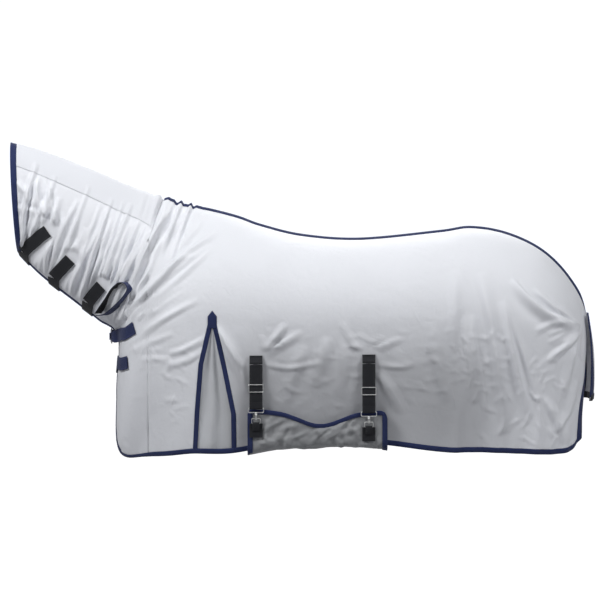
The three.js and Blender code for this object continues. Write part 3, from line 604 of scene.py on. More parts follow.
flank_folds = [
    fold([(-0.312, -0.350), (-0.262, -0.440), (-0.215, -0.505)], 0.011, 0.0085, -0.3),
    fold([(-0.318, -0.340), (-0.245, -0.470), (-0.205, -0.610)], 0.014, 0.0065, 0.2),
    fold([(-0.360, -0.385), (-0.440, -0.430), (-0.505, -0.450)], 0.011, 0.0065, 0.3),
    fold([(-0.372, -0.440), (-0.445, -0.480), (-0.520, -0.500)], 0.013, 0.0055, -0.2),
    fold([(-0.146, -0.440), (-0.090, -0.385), (-0.050, -0.335)], 0.010, 0.0085, 0.3),
    fold([(-0.140, -0.455), (-0.060, -0.405), (0.010, -0.360)], 0.012, 0.0070, -0.2),
    fold([(-0.140, -0.490), (-0.035, -0.505), (0.090, -0.480)], 0.009, 0.0050, 0.2),
    fold([(0.103, -0.385), (0.082, -0.470), (0.055, -0.580)], 0.018, 0.0085, 0.2),
    fold([(0.020, -0.420), (-0.020, -0.520), (-0.045, -0.640)], 0.020, 0.0060, -0.2),
    fold([(0.170, -0.400), (0.165, -0.500), (0.150, -0.620)], 0.020, 0.0060, 0.2),
    fold([(0.240, -0.446), (0.190, -0.385), (0.165, -0.325)], 0.011, 0.0060, 0.2),
    fold([(0.292, -0.440), (0.335, -0.410), (0.385, -0.385)], 0.010, 0.0060, -0.2),
    fold([(0.292, -0.515), (0.345, -0.590), (0.385, -0.680)], 0.013, 0.0085, 0.2),
    fold([(0.292, -0.490), (0.380, -0.500), (0.450, -0.480)], 0.010, 0.0045, 0.2),
]
quarter_folds = [
    fold([(0.594, -0.125), (0.590, -0.270), (0.588, -0.430)], 0.020, 0.0060, 0.2),
    fold([(0.690, -0.140), (0.735, -0.360), (0.765, -0.560), (0.790, -0.760)], 0.022, 0.0120, 0.3),
    fold([(0.780, -0.250), (0.825, -0.480), (0.885, -0.700)], 0.018, 0.0100, -0.3),
    fold([(0.815, -0.165), (0.885, -0.245), (0.965, -0.305), (1.090, -0.345)], 0.015, 0.0150, -0.4),
    fold([(0.900, -0.205), (0.985, -0.275), (1.085, -0.340)], 0.010, 0.0075, 0.2),
    fold([(1.075, -0.365), (1.010, -0.425), (0.950, -0.480)], 0.013, 0.0095, 0.3),
    fold([(1.080, -0.375), (1.045, -0.500), (1.020, -0.620)], 0.016, 0.0085, -0.2),
    fold([(1.060, -0.352), (0.980, -0.335), (0.900, -0.365)], 0.011, 0.0060, 0.2),
    fold([(0.655, -0.300), (0.660, -0.480), (0.668, -0.640)], 0.024, 0.0070, -0.2),
    fold([(0.500, -0.330), (0.520, -0.480), (0.560, -0.640)], 0.020, 0.0060, 0.2),
    fold([(0.940, -0.620), (0.985, -0.700), (1.030, -0.800)], 0.016, 0.0080, 0.2),
    fold([(1.075, -0.560), (1.045, -0.670), (0.985, -0.760)], 0.014, 0.0075, -0.2),
]
poll_folds = [
    fold([(-1.108, 0.215), (-1.075, 0.170), (-1.035, 0.110)], 0.013, 0.0075, 0.3),
    fold([(-1.108, 0.110), (-1.060, 0.105), (-1.020, 0.085)], 0.014, 0.0065, -0.2),
    fold([(-1.035, 0.225), (-1.020, 0.140), (-0.995, 0.090), (-0.965, 0.150)], 0.012, 0.0085, 0.2),
    fold([(-1.000, 0.240), (-0.975, 0.150), (-0.955, 0.060), (-0.985, -0.020)], 0.011, 0.0080, -0.3),
]


def make_side_folds(side):
    """All folds of one side; the off side has its own chance folds and no belly straps."""
    folds = neck_gathers() + shoulder_folds + poll_folds + quarter_folds
    folds += between([(-0.735, -0.300), (-0.620, -0.140), (-0.540, 0.020)],
                     [(-0.715, -0.420), (-0.560, -0.290), (-0.400, -0.190)],
                     12, 0.0055, 0.0042)
    folds += between([(-0.690, -0.450), (-0.590, -0.430), (-0.500, -0.430)],
                     [(-0.700, -0.560), (-0.600, -0.520), (-0.480, -0.520)],
                     4, 0.0070, 0.0030)
    folds += between([(0.560, -0.200), (0.600, -0.420), (0.640, -0.700)],
                     [(0.860, -0.330), (0.930, -0.520), (0.990, -0.720)],
                     7, 0.0110, 0.0034)
    folds += fan(TAIL_TIE, 140, 265, 10, 0.17, 0.007, 0.0068)
    folds += fan(CHEST_CLIP, 20, 75, 6, 0.22, 0.006, 0.0045)
    folds += crumples(90, (0.36, -0.64), (0.80, -0.36), 0.07, 0.0022)
    folds += crumples(60, (-0.10, -0.66), (0.36, -0.38), 0.07, 0.0020)
    folds += crumples(50, (0.70, -0.80), (1.05, -0.45), 0.09, 0.0024)
    folds += crumples(40, (-0.70, -0.82), (-0.42, -0.42), 0.08, 0.0020)
    if side < 0:
        folds += flank_folds
        folds += fan((-0.168, -0.455), 20, 75, 4, 0.12, 0.007, 0.004) + fan((0.263, -0.451), 25, 160, 6,
                                                                            0.10, 0.007, 0.004)
    return folds


FOLDS = {side: make_side_folds(side) for _, side in SIDES}
print("folds on the near side:", len(FOLDS[-1]), "and off side:", len(FOLDS[1]))

# %% [markdown]
# ## The cloth with its folds
# The relief adds the folds up, lets them die away under the straps that hold the cloth down and along the
# top of the back, and adds the gathers over the withers and the slow waves of the lower edge.

# %% Relief
NECK_STRAPS = (((-0.985, 0.022), 0.42), ((-0.896, -0.088), 1.4), ((-0.773, -0.191), 2.5))
BELLY_STRAPS = (("front", -0.168, -0.455, -0.655, -0.580, 0.3345),
                ("rear", 0.263, -0.451, -0.669, -0.590, 0.3355))


def step_up(value, low, high):
    t = np.clip((value - low) / (high - low), 0, 1)
    return t * t * (3 - 2 * t)


def seen(side, u, v):
    """x, z of one place, as the side view shows it."""
    p = form(side, np.array([float(u)]), np.array([float(v)]))[0]
    return p[[0, 2]]


def held_places(side):
    """Lines along which straps press the cloth flat, each with its half width."""
    lines = []
    for top, throat in NECK_STRAPS:
        upper = np.array(top) if side < 0 else seen(1, throat, 0.8)
        lines.append((upper, seen(side, throat, 1.0), 0.027))
    if side < 0:
        lines += [(np.array([x, top]), np.array([x, top - 0.036]), 0.027) for _, x, top, *_ in BELLY_STRAPS]
        lines.append((np.array([-0.640, -0.355]), np.array([-0.715, -0.385]), 0.028))
        lines.append((np.array([-0.664, -0.487]), np.array([-0.715, -0.490]), 0.030))
    else:
        lines.append((seen(1, 4.56, 0.84), seen(1, 4.56, 1.0), 0.030))
    return lines


HELD = {side: held_places(side) for _, side in SIDES}
FOLD_STRENGTH = 1.45
TUCK = 0.030        # how far the girth draws the lower barrel in


def relief(side, u, v, x, z):
    """How far the cloth stands off the smooth form."""
    lift = np.zeros(x.shape)
    for one in FOLDS[side]:
        lift += lift_by(x, z, one)
    lift = np.clip(FOLD_STRENGTH * lift, -0.009, 0.024) * step_up(v, 0.015, 0.12)
    for a, b, half in HELD[side]:
        run = b - a
        p = np.stack([x, z], -1) - a
        t = np.clip(p @ run / (run @ run), 0, 1)
        gap = np.linalg.norm(p - t[..., None] * run, axis=-1)
        lift *= step_up(gap, half, half + 0.025)
    over_withers = step_up(u, 3.5, 4.1) * (1 - step_up(u, 5.6, 6.6)) * (1 - step_up(v, 0.10, 0.3))
    lift += over_withers * (0.0048 * np.sin(u * 12.5) + 0.0030 * np.sin(u * 21 + 1))
    barrel = step_up(u, 8.2, 10.0) * (1 - step_up(u, 13.0, 15.2))
    lift -= TUCK * barrel * step_up(v, 0.56, 1.0) ** 1.2
    low_edge = step_up(v, 0.72, 1.0) * step_up(u, CHEST_CORNER, 7.2)
    lift += low_edge * (0.0035 * np.sin(u * 4.7 + side) + 0.0022 * np.sin(u * 9.1 + 2))
    return lift


def cloth_at(side, u, v, lift=0.0):
    """Points of the folded cloth's outer face, raised by lift."""
    u, v = np.broadcast_arrays(np.asarray(u, float), np.asarray(v, float))
    p = form(side, u, v)
    return p + facing(side, u, v) * (relief(side, u, v, p[..., 0], p[..., 2]) + lift)[..., None]


print("held down at", len(HELD[-1]), "places on the near side")

# %% [markdown]
# ## From a grid to a piece of cloth
# Every sheet, tape and strap here starts as a grid of points on the form. A helper turns the grid into a
# mesh whose flat coordinates are its real length and width in metres, gives it its thickness with Solidify,
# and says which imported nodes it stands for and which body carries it.

# %% Grid helpers
CLOTH_THICK = 0.0009
TAPE_THICK = 0.0009


def flat_map(points):
    """Real lengths along and across a grid, in metres."""
    def run(axis):
        steps = np.linalg.norm(np.diff(points, axis=axis), axis=-1)
        total = np.cumsum(steps, axis=axis)
        pad = [(0, 0), (0, 0)]
        pad[axis] = (1, 0)
        return np.pad(total, pad)
    return np.stack([run(0), run(1)], -1)


def mesh_from_grids(name, grids, outward):
    """One mesh of one or more grids; outward(centre) gives the direction that its faces should look."""
    verts, faces, flats, start = [], [], [], 0
    for points in grids:
        rows, columns = points.shape[:2]
        index = start + np.arange(rows * columns).reshape(rows, columns)
        quads = np.stack([index[:-1, :-1], index[1:, :-1], index[1:, 1:], index[:-1, 1:]], -1).reshape(-1, 4)
        middle = points[rows // 2, columns // 2]
        a = points[min(rows // 2 + 1, rows - 1), columns // 2] - points[rows // 2 - 1, columns // 2]
        b = points[rows // 2, min(columns // 2 + 1, columns - 1)] - points[rows // 2, columns // 2 - 1]
        if np.cross(a, b) @ np.asarray(outward(middle)) < 0:
            quads = quads[:, ::-1]
        verts.append(points.reshape(-1, 3))
        flats.append(flat_map(points).reshape(-1, 2))
        faces.append(quads)
        start += rows * columns
    verts, flats, faces = np.vstack(verts), np.vstack(flats), np.vstack(faces)
    mesh = bpy.data.meshes.new(name)
    mesh.from_pydata(verts.tolist(), [], faces.tolist())
    layer = mesh.uv_layers.new(name="flat")
    layer.data.foreach_set("uv", flats[faces.ravel()].ravel())
    piece = bpy.data.objects.new(name, mesh)
    bpy.context.scene.collection.objects.link(piece)
    return piece


def use(piece):
    """Makes one piece the active and only selected object."""
    bpy.ops.object.select_all(action="DESELECT")
    bpy.context.view_layer.objects.active = piece
    piece.select_set(True)


def apply_modifier(piece, kind, **settings):
    use(piece)
    modifier = piece.modifiers.new(kind.lower(), kind)
    for label, value in settings.items():
        setattr(modifier, label, value)
    bpy.ops.object.modifier_apply(modifier=modifier.name)


def merge_doubles(piece, distance=0.00002):
    use(piece)
    bpy.ops.object.mode_set(mode="EDIT")
    bpy.ops.mesh.select_all(action="SELECT")
    bpy.ops.mesh.remove_doubles(threshold=distance)
    bpy.ops.object.mode_set(mode="OBJECT")


def finish_piece(piece, finish, body, nodes):
    """The finish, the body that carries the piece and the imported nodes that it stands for."""
    piece.data.materials.clear()
    piece.data.materials.append(FINISH[finish])
    piece.data.shade_smooth()
    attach(piece, body)
    if nodes:
        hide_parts(*nodes)
    print(piece.name, len(piece.data.polygons), "faces")
    return piece


def woven_piece(name, grids, outward, thick, finish, body, nodes):
    """A sheet or tape from grids, with its thickness laid inwards."""
    piece = mesh_from_grids(name, grids, outward)
    if len(grids) > 1:
        merge_doubles(piece)
    apply_modifier(piece, "SOLIDIFY", thickness=thick, offset=-1.0)
    return finish_piece(piece, finish, body, nodes)


def even_rows(u, count, low=0.0, high=1.0):
    """Values of v that divide a rib evenly by length."""
    v = low + (high - low) * np.linspace(0, 1, 1500) ** 2
    p = form(1, np.full(v.shape, float(u)), v)
    length = np.concatenate([[0], np.cumsum(np.linalg.norm(np.diff(p, axis=0), axis=1))])
    return np.interp(np.linspace(0, length[-1], count + 1), length, v)


# %% [markdown]
# ## Body cloth
# Each side is one curved sheet from the back seam to the hem, slit below the shoulder for a gusset, with a
# narrow chest panel sewn on in front. The slit's two edges are found on the form, so the grid's edges lie
# on them.

# %% Outlines on the flank
CHEST_SEAM_X = -0.586
FRONT_LEG = np.array([(-0.336, -0.300), (-0.380, -0.490), (-0.396, -0.680), (-0.408, -0.870)])
REAR_LEG = np.array([(-0.336, -0.300), (-0.287, -0.517), (-0.255, -0.680), (-0.254, -0.870)])


def leg_x(leg, z):
    """x of one edge of the gusset at height z; above its top both edges are one upright line."""
    return np.interp(-z, -leg[:, 1], leg[:, 0])


def rib_at(v, line_x):
    """u where each row v crosses an upright line given as x for each z."""
    low, high = np.full(v.shape, 4.0), np.full(v.shape, 12.0)
    for _ in range(40):
        u = (low + high) / 2
        p = form(-1, u, v)
        ahead = p[:, 0] < line_x(p[:, 2])
        low, high = np.where(ahead, u, low), np.where(ahead, high, u)
    return low


def rows_between(side, v, left, right, columns):
    """A grid of cloth: rows at v, each from u = left to u = right."""
    s = np.linspace(0, 1, columns + 1)
    u = left[:, None] + (right - left)[:, None] * s[None, :]
    return cloth_at(side, u, np.broadcast_to(v[:, None], u.shape))


def outward_from(side):
    return lambda p: (0.0, side, 0.15)


body_rows = even_rows(11, 138)
front_u = rib_at(body_rows, lambda z: leg_x(FRONT_LEG, z))
rear_u = rib_at(body_rows, lambda z: leg_x(REAR_LEG, z))
seam_u = rib_at(body_rows, lambda z: CHEST_SEAM_X)
neck_u = np.full(body_rows.shape, WITHERS)
left_u = np.maximum(neck_u, seam_u)
has_chest = seam_u > WITHERS + 0.06
slit = form(-1, front_u, body_rows)[:, 2] < GUSSET_TOP[1] - 0.004

# %% Cut the body cloth
for name, side in SIDES:
    front_grid = rows_between(side, body_rows, left_u, front_u, 50)
    rear_grid = rows_between(side, body_rows, np.where(slit, rear_u, front_u),
                             np.full(body_rows.shape, DOCK), 196)
    woven_piece(
        f"side_cloth_{name}", [front_grid, rear_grid], outward_from(side), CLOTH_THICK, "cloth",
        "sheet",
        [f"side_panel_{name}"])
    chest_grid = rows_between(side, body_rows[has_chest], neck_u[has_chest], seam_u[has_chest], 30)
    woven_piece(
        f"chest_cloth_{name}", [chest_grid], outward_from(side), CLOTH_THICK, "cloth", "sheet",
        [f"chest_panel_{name}"])
    v = body_rows[slit]
    s = np.linspace(0, 1, 24)
    u = front_u[slit][:, None] + (rear_u - front_u)[slit][:, None] * s[None, :]
    drop = step_up(v, v[0], v[0] + 0.25)[:, None]
    hollow = drop * np.sin(np.pi * s)
    pleats = hollow * (0.006 * np.sin(4.2 * np.pi * s + 3 * v[:, None]) - 0.020)
    gusset_grid = cloth_at(side, u, np.broadcast_to(v[:, None], u.shape), pleats)
    # The gusset's finish is a darker silver: painted shade for its recess.
    woven_piece(
        f"gusset_cloth_shaded_{name}", [gusset_grid], outward_from(side), CLOTH_THICK, "gusset_cloth_shaded",
        "sheet",
        [f"gusset_insert_{name}"])

# %% [markdown]
# ## Neck cover
# The neck cover is a tube: a doubled crest strip along the top, and a cloth on each side that closes under
# the throat with three straps. The straps draw it into the long gathers.

# %% Cut the neck cover
neck_rows = even_rows(2, 84, CREST_DROP, 1.0)
crest_rows = even_rows(2, 26, 0.0, CREST_DROP + 0.012)
neck_columns = np.linspace(0, WITHERS, 150)
for name, side in SIDES:
    u, v = np.meshgrid(neck_columns, neck_rows)
    woven_piece(
        f"neck_cloth_{name}", [cloth_at(side, u, v)], outward_from(side), CLOTH_THICK, "cloth",
        "sheet",
        [f"neck_cover_{name}"])
CREST_LIFT = 0.0012
u, v = np.meshgrid(neck_columns, crest_rows)
crest_sides = [cloth_at(side, u, v, CREST_LIFT) for _, side in SIDES]
crest_sides[0][0, :, 1] = 0
crest_sides[1][0, :, 1] = 0
ridge = (crest_sides[0][0] + crest_sides[1][0]) / 2
crest_grid = np.concatenate([crest_sides[0][::-1][:-1], ridge[None], crest_sides[1][1:]])
woven_piece("crest_cloth", [crest_grid], lambda p: (0, 0, 1), CLOTH_THICK, "double_cloth",
                             "sheet", ["crest_strip"])

# %% [markdown]
# ## Edge tape
# Binding tape is folded over the raw edge and sewn through, so each edge is a narrow U: a face outside, a
# fold round the edge and a face inside. It follows the folded cloth, and puckers a little between its
# stitches.

# %% Tape helpers
TAPE_LIFT = 0.0007
PUCKER = 0.00025
PUCKER_STEP = 0.013


def edge_tape(name, at, length, finish, body, nodes, outward, width=TAPE_WIDTH):
    """Tape over an edge. at(s, inward, lift) gives points at a share s of the edge, inward of it by metres."""
    steps = max(int(length / 0.006), 8)
    s = np.linspace(0, 1, steps + 1)
    back = -CLOTH_THICK - TAPE_LIFT
    section = [(width, TAPE_LIFT * 0.6), (width * 0.94, TAPE_LIFT + TAPE_THICK),
               (width * 0.5, TAPE_LIFT + TAPE_THICK),
               (0.0008, TAPE_LIFT + TAPE_THICK), (-0.0010, TAPE_LIFT * 0.4), (-0.0010, back * 0.6),
               (0.0008, back - TAPE_THICK),
               (width * 0.5, back - TAPE_THICK), (width * 0.94, back - TAPE_THICK), (width, back)]
    edge = at(s, 0 * s, 0.0)
    beyond = unit(edge - at(s, 0 * s + 0.002, 0.0))
    columns = []
    for inward, lift in section:
        wave = PUCKER * np.sin(s * length / PUCKER_STEP * 2 * np.pi) * (1 if lift > 0 else -1)
        p = at(s, np.full(s.shape, max(inward, 0.0)), lift + wave)
        columns.append(p - beyond * min(inward, 0.0))
    grid = np.stack(columns, 1)
    return woven_piece(name, [grid], outward, TAPE_THICK * 0.7, finish, body, nodes)


def hem_place(side, first, last):
    """Places beside the lower edge, from rib first to rib last."""
    def at(s, inward, lift):
        u = first + (last - first) * s
        drop = np.linalg.norm(form(side, u, np.full(u.shape, 1.0)) - form(side, u, np.full(u.shape, 0.98)),
                              axis=-1) / 0.02
        return cloth_at(side, u, 1 - inward / drop, lift)
    return at


def rib_place(side, u0, toward, v0, v1):
    """Places beside a rib, from v0 to v1; toward is 1 for the tail and -1 for the head."""
    def at(s, inward, lift):
        v = v0 + (v1 - v0) * s
        u = np.full(v.shape, float(u0))
        pace = np.linalg.norm(form(side, u + toward * 0.02, v) - form(side, u, v), axis=-1) / 0.02
        return cloth_at(side, u + toward * inward / pace, v, lift)
    return at


# %% Bind the edges
for name, side in SIDES:
    aim = outward_from(side)
    edge_tape(f"throat_tape_{name}", hem_place(side, 0.02, WITHERS - 0.001), 0.52,
                                        "tape",
                                        "sheet", [f"throat_binding_{name}"], aim, TAPE_WIDTH * 1.5)
    edge_tape(f"chest_edge_tape_{name}",
                                       hem_place(side, WITHERS + 0.001, CHEST_CORNER + 0.02), 0.46,
                                       "tape", "sheet", [f"chest_edge_binding_{name}"], aim,
                                       TAPE_WIDTH * 1.5)
    edge_tape(
        f"hem_tape_{name}", hem_place(side, CHEST_CORNER, DOCK), 1.85, "tape", "sheet",
        [f"hem_binding_front_{name}", f"hem_binding_gusset_{name}"], aim)
    edge_tape(f"rear_edge_tape_{name}", rib_place(side, DOCK, -1, 0.03, 1.0), 0.38,
                                      "tape",
                                      "sheet", [f"hem_binding_rear_{name}"], aim)
poll_near = rib_place(-1, 0.0, 1, 1.0, 0.0)
poll_off = rib_place(1, 0.0, 1, 0.0, 1.0)


def poll_place(s, inward, lift):
    near = poll_near(np.clip(s * 2, 0, 1), inward, lift + CREST_LIFT)
    off = poll_off(np.clip(s * 2 - 1, 0, 1), inward, lift + CREST_LIFT)
    return np.where((s < 0.5)[:, None], near, off)


edge_tape("poll_tape", poll_place, 0.92, "tape", "sheet", ["poll_edge_binding"],
                          lambda p: (p[0] + 0.9, p[1] * 8, p[2] - 0.1))

# %% [markdown]
# ## Back tape
# The seam along the back stands up a little and is covered by a tape from the withers to the dock. Where
# the neck cover's gathers meet it, it ripples with them.

# %% Back tape


def back_place(s, across, lift):
    """Points at a distance across the back seam."""
    u = WITHERS + 0.05 + (DOCK - WITHERS - 0.15) * s
    low, high = np.zeros(u.shape), np.full(u.shape, 0.12)
    for _ in range(30):
        v = (low + high) / 2
        inside = form(1, u, v)[:, 1] < abs(across)
        low, high = np.where(inside, v, low), np.where(inside, high, v)
    side = -1 if across < 0 else 1
    flatter = 1 - 0.75 * step_up(u, DOCK - 1.6, DOCK - 0.9)
    return cloth_at(side, u, low, lift * flatter)


s = np.linspace(0, 1, 330)
half = TAPE_WIDTH / 2
profile = [(-half, 0.0005), (-half * 0.85, 0.0026), (-half * 0.35, 0.0042), (0.0, 0.0095),
           (half * 0.35, 0.0042),
           (half * 0.85, 0.0026), (half, 0.0005)]
back_grid = np.stack([back_place(s, across, lift) for across, lift in profile], 1)
back_grid[:, 3, 1] = 0
woven_piece("back_tape", [back_grid], lambda p: (0, 0, 1), TAPE_THICK, "tape",
                            "sheet",
                            ["spine_binding"])

# %% [markdown]
# ## Gusset tape
# Two legs of tape cover the slit's edges and meet under a house-shaped patch that stops the slit from
# tearing.

# %% Gusset tape


def on_flank(side, x, z, lift):
    """The cloth seen from the side at x, z."""
    u, v = seen_at(x, z)
    return cloth_at(side, u, v, lift)


def flank_strip(side, left_x, right_x, z, lift):
    """A grid between two upright lines on the flank, with its edges turned down to the cloth."""
    shares = np.array([0.0, 0.05, 0.3, 0.5, 0.7, 0.95, 1.0])
    drop = np.array([0.0002, 0.9, 1, 1, 1, 0.9, 0.0002]) * lift
    x = left_x[:, None] + (right_x - left_x)[:, None] * shares[None, :]
    return on_flank(side, x, np.broadcast_to(z[:, None], x.shape), np.broadcast_to(drop[None, :], x.shape))


PATCH_TOP = -0.284
PATCH_SHOULDER = -0.306
PATCH_LOW = -0.352
PATCH_HALF = 0.018
for name, side in SIDES:
    z = np.linspace(-0.335, -0.824, 90)
    legs = []
    for leg in (FRONT_LEG, REAR_LEG):
        middle = leg_x(leg, z)
        legs.append(flank_strip(side, middle - TAPE_WIDTH / 2, middle + TAPE_WIDTH / 2, z, 0.0022))
    z = np.linspace(PATCH_TOP, PATCH_LOW, 24)
    spread = PATCH_HALF * np.clip((PATCH_TOP - z) / (PATCH_TOP - PATCH_SHOULDER), 0.02, 1)
    patch = flank_strip(side, GUSSET_TOP[0] - spread, GUSSET_TOP[0] + spread, z, 0.0034)
    woven_piece(
        f"gusset_tape_{name}", [*legs, patch], outward_from(side), TAPE_THICK, "tape", "sheet",
        [f"gusset_binding_{name}"])

# %% [markdown]
# ## Webbing
# Straps are woven flat, about 2.4 mm thick with rounded selvedges. A strap is a route of centre points with a
# direction across at each, swept with a rounded flat section and closed at both ends.

# %% Webbing helpers
WEBBING = 0.0024
OVER_TAPE = 0.0046


def strap(name, route, across, width, finish, body, nodes, thick=WEBBING):
    """Webbing along a route; across gives the direction of its width at every point."""
    route = np.asarray(route, float)
    across = unit(np.broadcast_to(np.asarray(across, float), route.shape))
    run = unit(np.gradient(route, axis=0))
    out = unit(np.cross(run, across))
    h, t = np.broadcast_to(width, len(route))[:, None] / 2, thick / 2
    section = [(-1, 0, 0), (-1, 0.0006, t), (-0.5, 0, t), (0, 0, t), (0.5, 0, t), (1, -0.0006, t),
               (1, 0, 0), (1, -0.0006, -t),
               (0.5, 0, -t), (0, 0, -t), (-0.5, 0, -t), (-1, 0.0006, -t)]
    count = len(section)
    verts = np.stack([route + across * (h * share + inset) + out * up for share, inset, up in section], 1)
    index = np.arange(len(route) * count).reshape(len(route), count)
    ahead = np.roll(index, -1, axis=1)
    faces = np.stack([index[:-1], ahead[:-1], ahead[1:], index[1:]], -1).reshape(-1, 4).tolist()
    faces += [index[0][::-1].tolist(), index[-1].tolist()]
    length = np.concatenate([[0], np.cumsum(np.linalg.norm(np.diff(route, axis=0), axis=1))])
    shares = np.array([share for share, _, _ in section])
    flat = np.stack([np.repeat(length, count), (h * (1 + shares)).ravel()], -1)
    mesh = bpy.data.meshes.new(name)
    mesh.from_pydata(verts.reshape(-1, 3).tolist(), [], faces)
    layer = mesh.uv_layers.new(name="flat")
    corners = [i for face in faces for i in face]
    layer.data.foreach_set("uv", flat[corners].ravel())
    piece = bpy.data.objects.new(name, mesh)
    bpy.context.scene.collection.objects.link(piece)
    use(piece)
    bpy.ops.object.mode_set(mode="EDIT")
    bpy.ops.mesh.select_all(action="SELECT")
    bpy.ops.mesh.normals_make_consistent(inside=False)
    bpy.ops.object.mode_set(mode="OBJECT")
    finish_piece(piece, finish, body, nodes)
    bpy.ops.object.shade_smooth_by_angle(angle=math.radians(40))
    return piece


def spread_route(points, step=0.004):
    """A smooth route through points, a few millimetres a step."""
    points = np.asarray(points, float)
    length = np.linalg.norm(np.diff(points, axis=0), axis=1).sum()
    p = np.vstack([2 * points[0] - points[1], points, 2 * points[-1] - points[-2]])
    t = np.linspace(0, len(points) - 1.0001, max(int(length / step), 6))
    i = np.floor(t).astype(int)
    f = (t - i)[:, None]
    a, b, c, d = (p[i + k] for k in range(4))
    return b + 0.5 * f * (c - a + f * (2 * a - 5 * b + 4 * c - d + f * (3 * (b - c) + d - a)))


def laid_strap(name, places, lift, finish, body, nodes, width=STRAP_WIDTH, thick=WEBBING):
    """Webbing laid on the cloth through a list of (side, u, v)."""
    points, outs = [], []
    for side, u, v in places:
        u, v = np.array([float(u)]), np.array([float(v)])
        n = facing(side, u, v)[0]
        points.append(form(side, u, v)[0] + n * (lift + thick / 2))
        outs.append(n)
    route = spread_route(points)
    shares = np.linspace(0, len(outs) - 1, len(route))
    out = np.stack([np.interp(shares, range(len(outs)), np.array(outs)[:, k]) for k in range(3)], -1)
    across = np.cross(unit(out), unit(np.gradient(route, axis=0)))
    return strap(name, route, across, width, finish, body, nodes, thick)


# %% Neck straps
for i, (top, throat) in enumerate(NECK_STRAPS, 1):
    u, v = (float(k) for k in seen_at(*top))
    route = [(-1, u + (throat - u) * t, v + (0.925 - v) * t) for t in (0, 0.2, 0.4, 0.6, 0.8, 1)]
    laid_strap(f"neck_strap_webbing_{i}", route, OVER_TAPE + 0.0006, "black_webbing",
               f"neck_strap_{i}",
               [f"neck_strap_{i}"])
    grip = [(-1, u + (throat - u) * t, v + (0.925 - v) * t) for t in (0.1, 0.4, 0.7)]
    laid_strap(f"neck_grip_patch_{i}", grip, 0.0012, "black_webbing", "sheet",
               [f"neck_loop_patch_{i}"],
               STRAP_WIDTH - 0.006, 0.0028)
    under = [(-1, throat, v) for v in (0.932, 0.955, 0.975, 0.99,
                                       1)] + [(1, throat, v) for v in (1, 0.99, 0.975, 0.95, 0.88, 0.8)]
    laid_strap(f"neck_strap_foot_{i}", under, OVER_TAPE, "black_webbing", "sheet",
               [f"neck_strap_base_{i}"])

# %% [markdown]
# ## Loop strap
# At the foot of the neck a teardrop loop of webbing stands off the cloth. It is navy tape outside and black
# webbing inside, bent round on itself and sewn at its foot.

# %% Loop strap
LOOP = [(0, 0.004), (0.022, 0.030), (0.050, 0.060), (0.084, 0.100), (0.122, 0.124), (0.152, 0.122),
        (0.166, 0.102),
        (0.142, 0.068), (0.092, 0.030), (0.046, 0.002), (0.004, -0.004)]
LOOP_FOOT = np.array([-0.776, -0.107, -0.303])
LOOP_TURN = math.radians(-38)
LOOP_WIDE = 0.038
turn = np.array([(math.cos(LOOP_TURN), -math.sin(LOOP_TURN), 0),
                 (math.sin(LOOP_TURN), math.cos(LOOP_TURN), 0), (0, 0, 1)])
loop_route = spread_route([(x, -LOOP_WIDE / 2, z) for x, z in LOOP], 0.003)
loop_out = unit(np.cross(unit(np.gradient(loop_route, axis=0)), (0, 1, 0)))
loop_middle = loop_route.mean(0)
if (loop_out[20] @ (loop_route[20] - loop_middle)) < 0:
    loop_out = -loop_out
for name, lift, finish, nodes in (("loop_strap_outer", 0.0007, "tape", ["loop_strap"]),
                                  ("loop_strap_inner", -0.0007,
                                                                                    "black_webbing", [])):
    route = (loop_route + loop_out * lift) @ turn.T + LOOP_FOOT
    strap(name, route, turn @ np.array([0, 1, 0]), LOOP_WIDE, finish, "loop_strap", nodes, 0.0013)

# %% [markdown]
# ## Clips
# Each closure is a wide-eye clip: a flat wire eye for the webbing, a hook with a spring gate, and a ring.
# They are bent from rod and strip, so each is a bevelled curve turned into a mesh. Each shape is made once,
# lengths running down from the eye's upper bar, and copied to its places: two under the belly and one
# across the chest.

# %% Wire and strip
CLIP_OUT = 0.016
EYE_HALF = 0.031
RING_HALF = 0.018
RING_TOP = -0.038
RING_LOW = -0.060
WIRE_RADIUS = 0.0015


def rounded_corners(points, radius, closed):
    """Points with each corner replaced by a short arc."""
    p = [Vector(q) for q in points]
    out = []
    for i, corner in enumerate(p):
        if not closed and i in (0, len(p) - 1):
            out.append(corner)
            continue
        before, after = p[i - 1], p[(i + 1) % len(p)]
        cut = min(radius, (before - corner).length * 0.45, (after - corner).length * 0.45)
        a = corner + (before - corner).normalized() * cut
        b = corner + (after - corner).normalized() * cut
        out += [a.lerp(corner, t).lerp(corner.lerp(b, t), t) for t in (0, 0.2, 0.4, 0.6, 0.8, 1)]
    return out


def bent(name, points, radius, corner, closed=False, strip=0.0):
    """A rod, or a strip when strip is set, bent through points. A strip's points are (out, up, 0)."""
    curve = bpy.data.curves.new(name, "CURVE")
    curve.dimensions = "2D" if strip else "3D"
    curve.bevel_depth = radius
    curve.bevel_resolution = 3
    curve.extrude = strip
    curve.use_fill_caps = True
    path = rounded_corners(points, corner, closed)
    spline = curve.splines.new("POLY")
    spline.points.add(len(path) - 1)
    for knot, place in zip(spline.points, path):
        knot.co = (*place, 1)
    spline.use_cyclic_u = closed
    piece = bpy.data.objects.new(name, curve)
    bpy.context.scene.collection.objects.link(piece)
    use(piece)
    bpy.ops.object.convert(target="MESH")
    piece = bpy.context.object
    if strip:
        piece.data.transform(Matrix(((0, 0, 1, 0), (-1, 0, 0, 0), (0, 1, 0, 0), (0, 0, 0, 1))))
    return piece


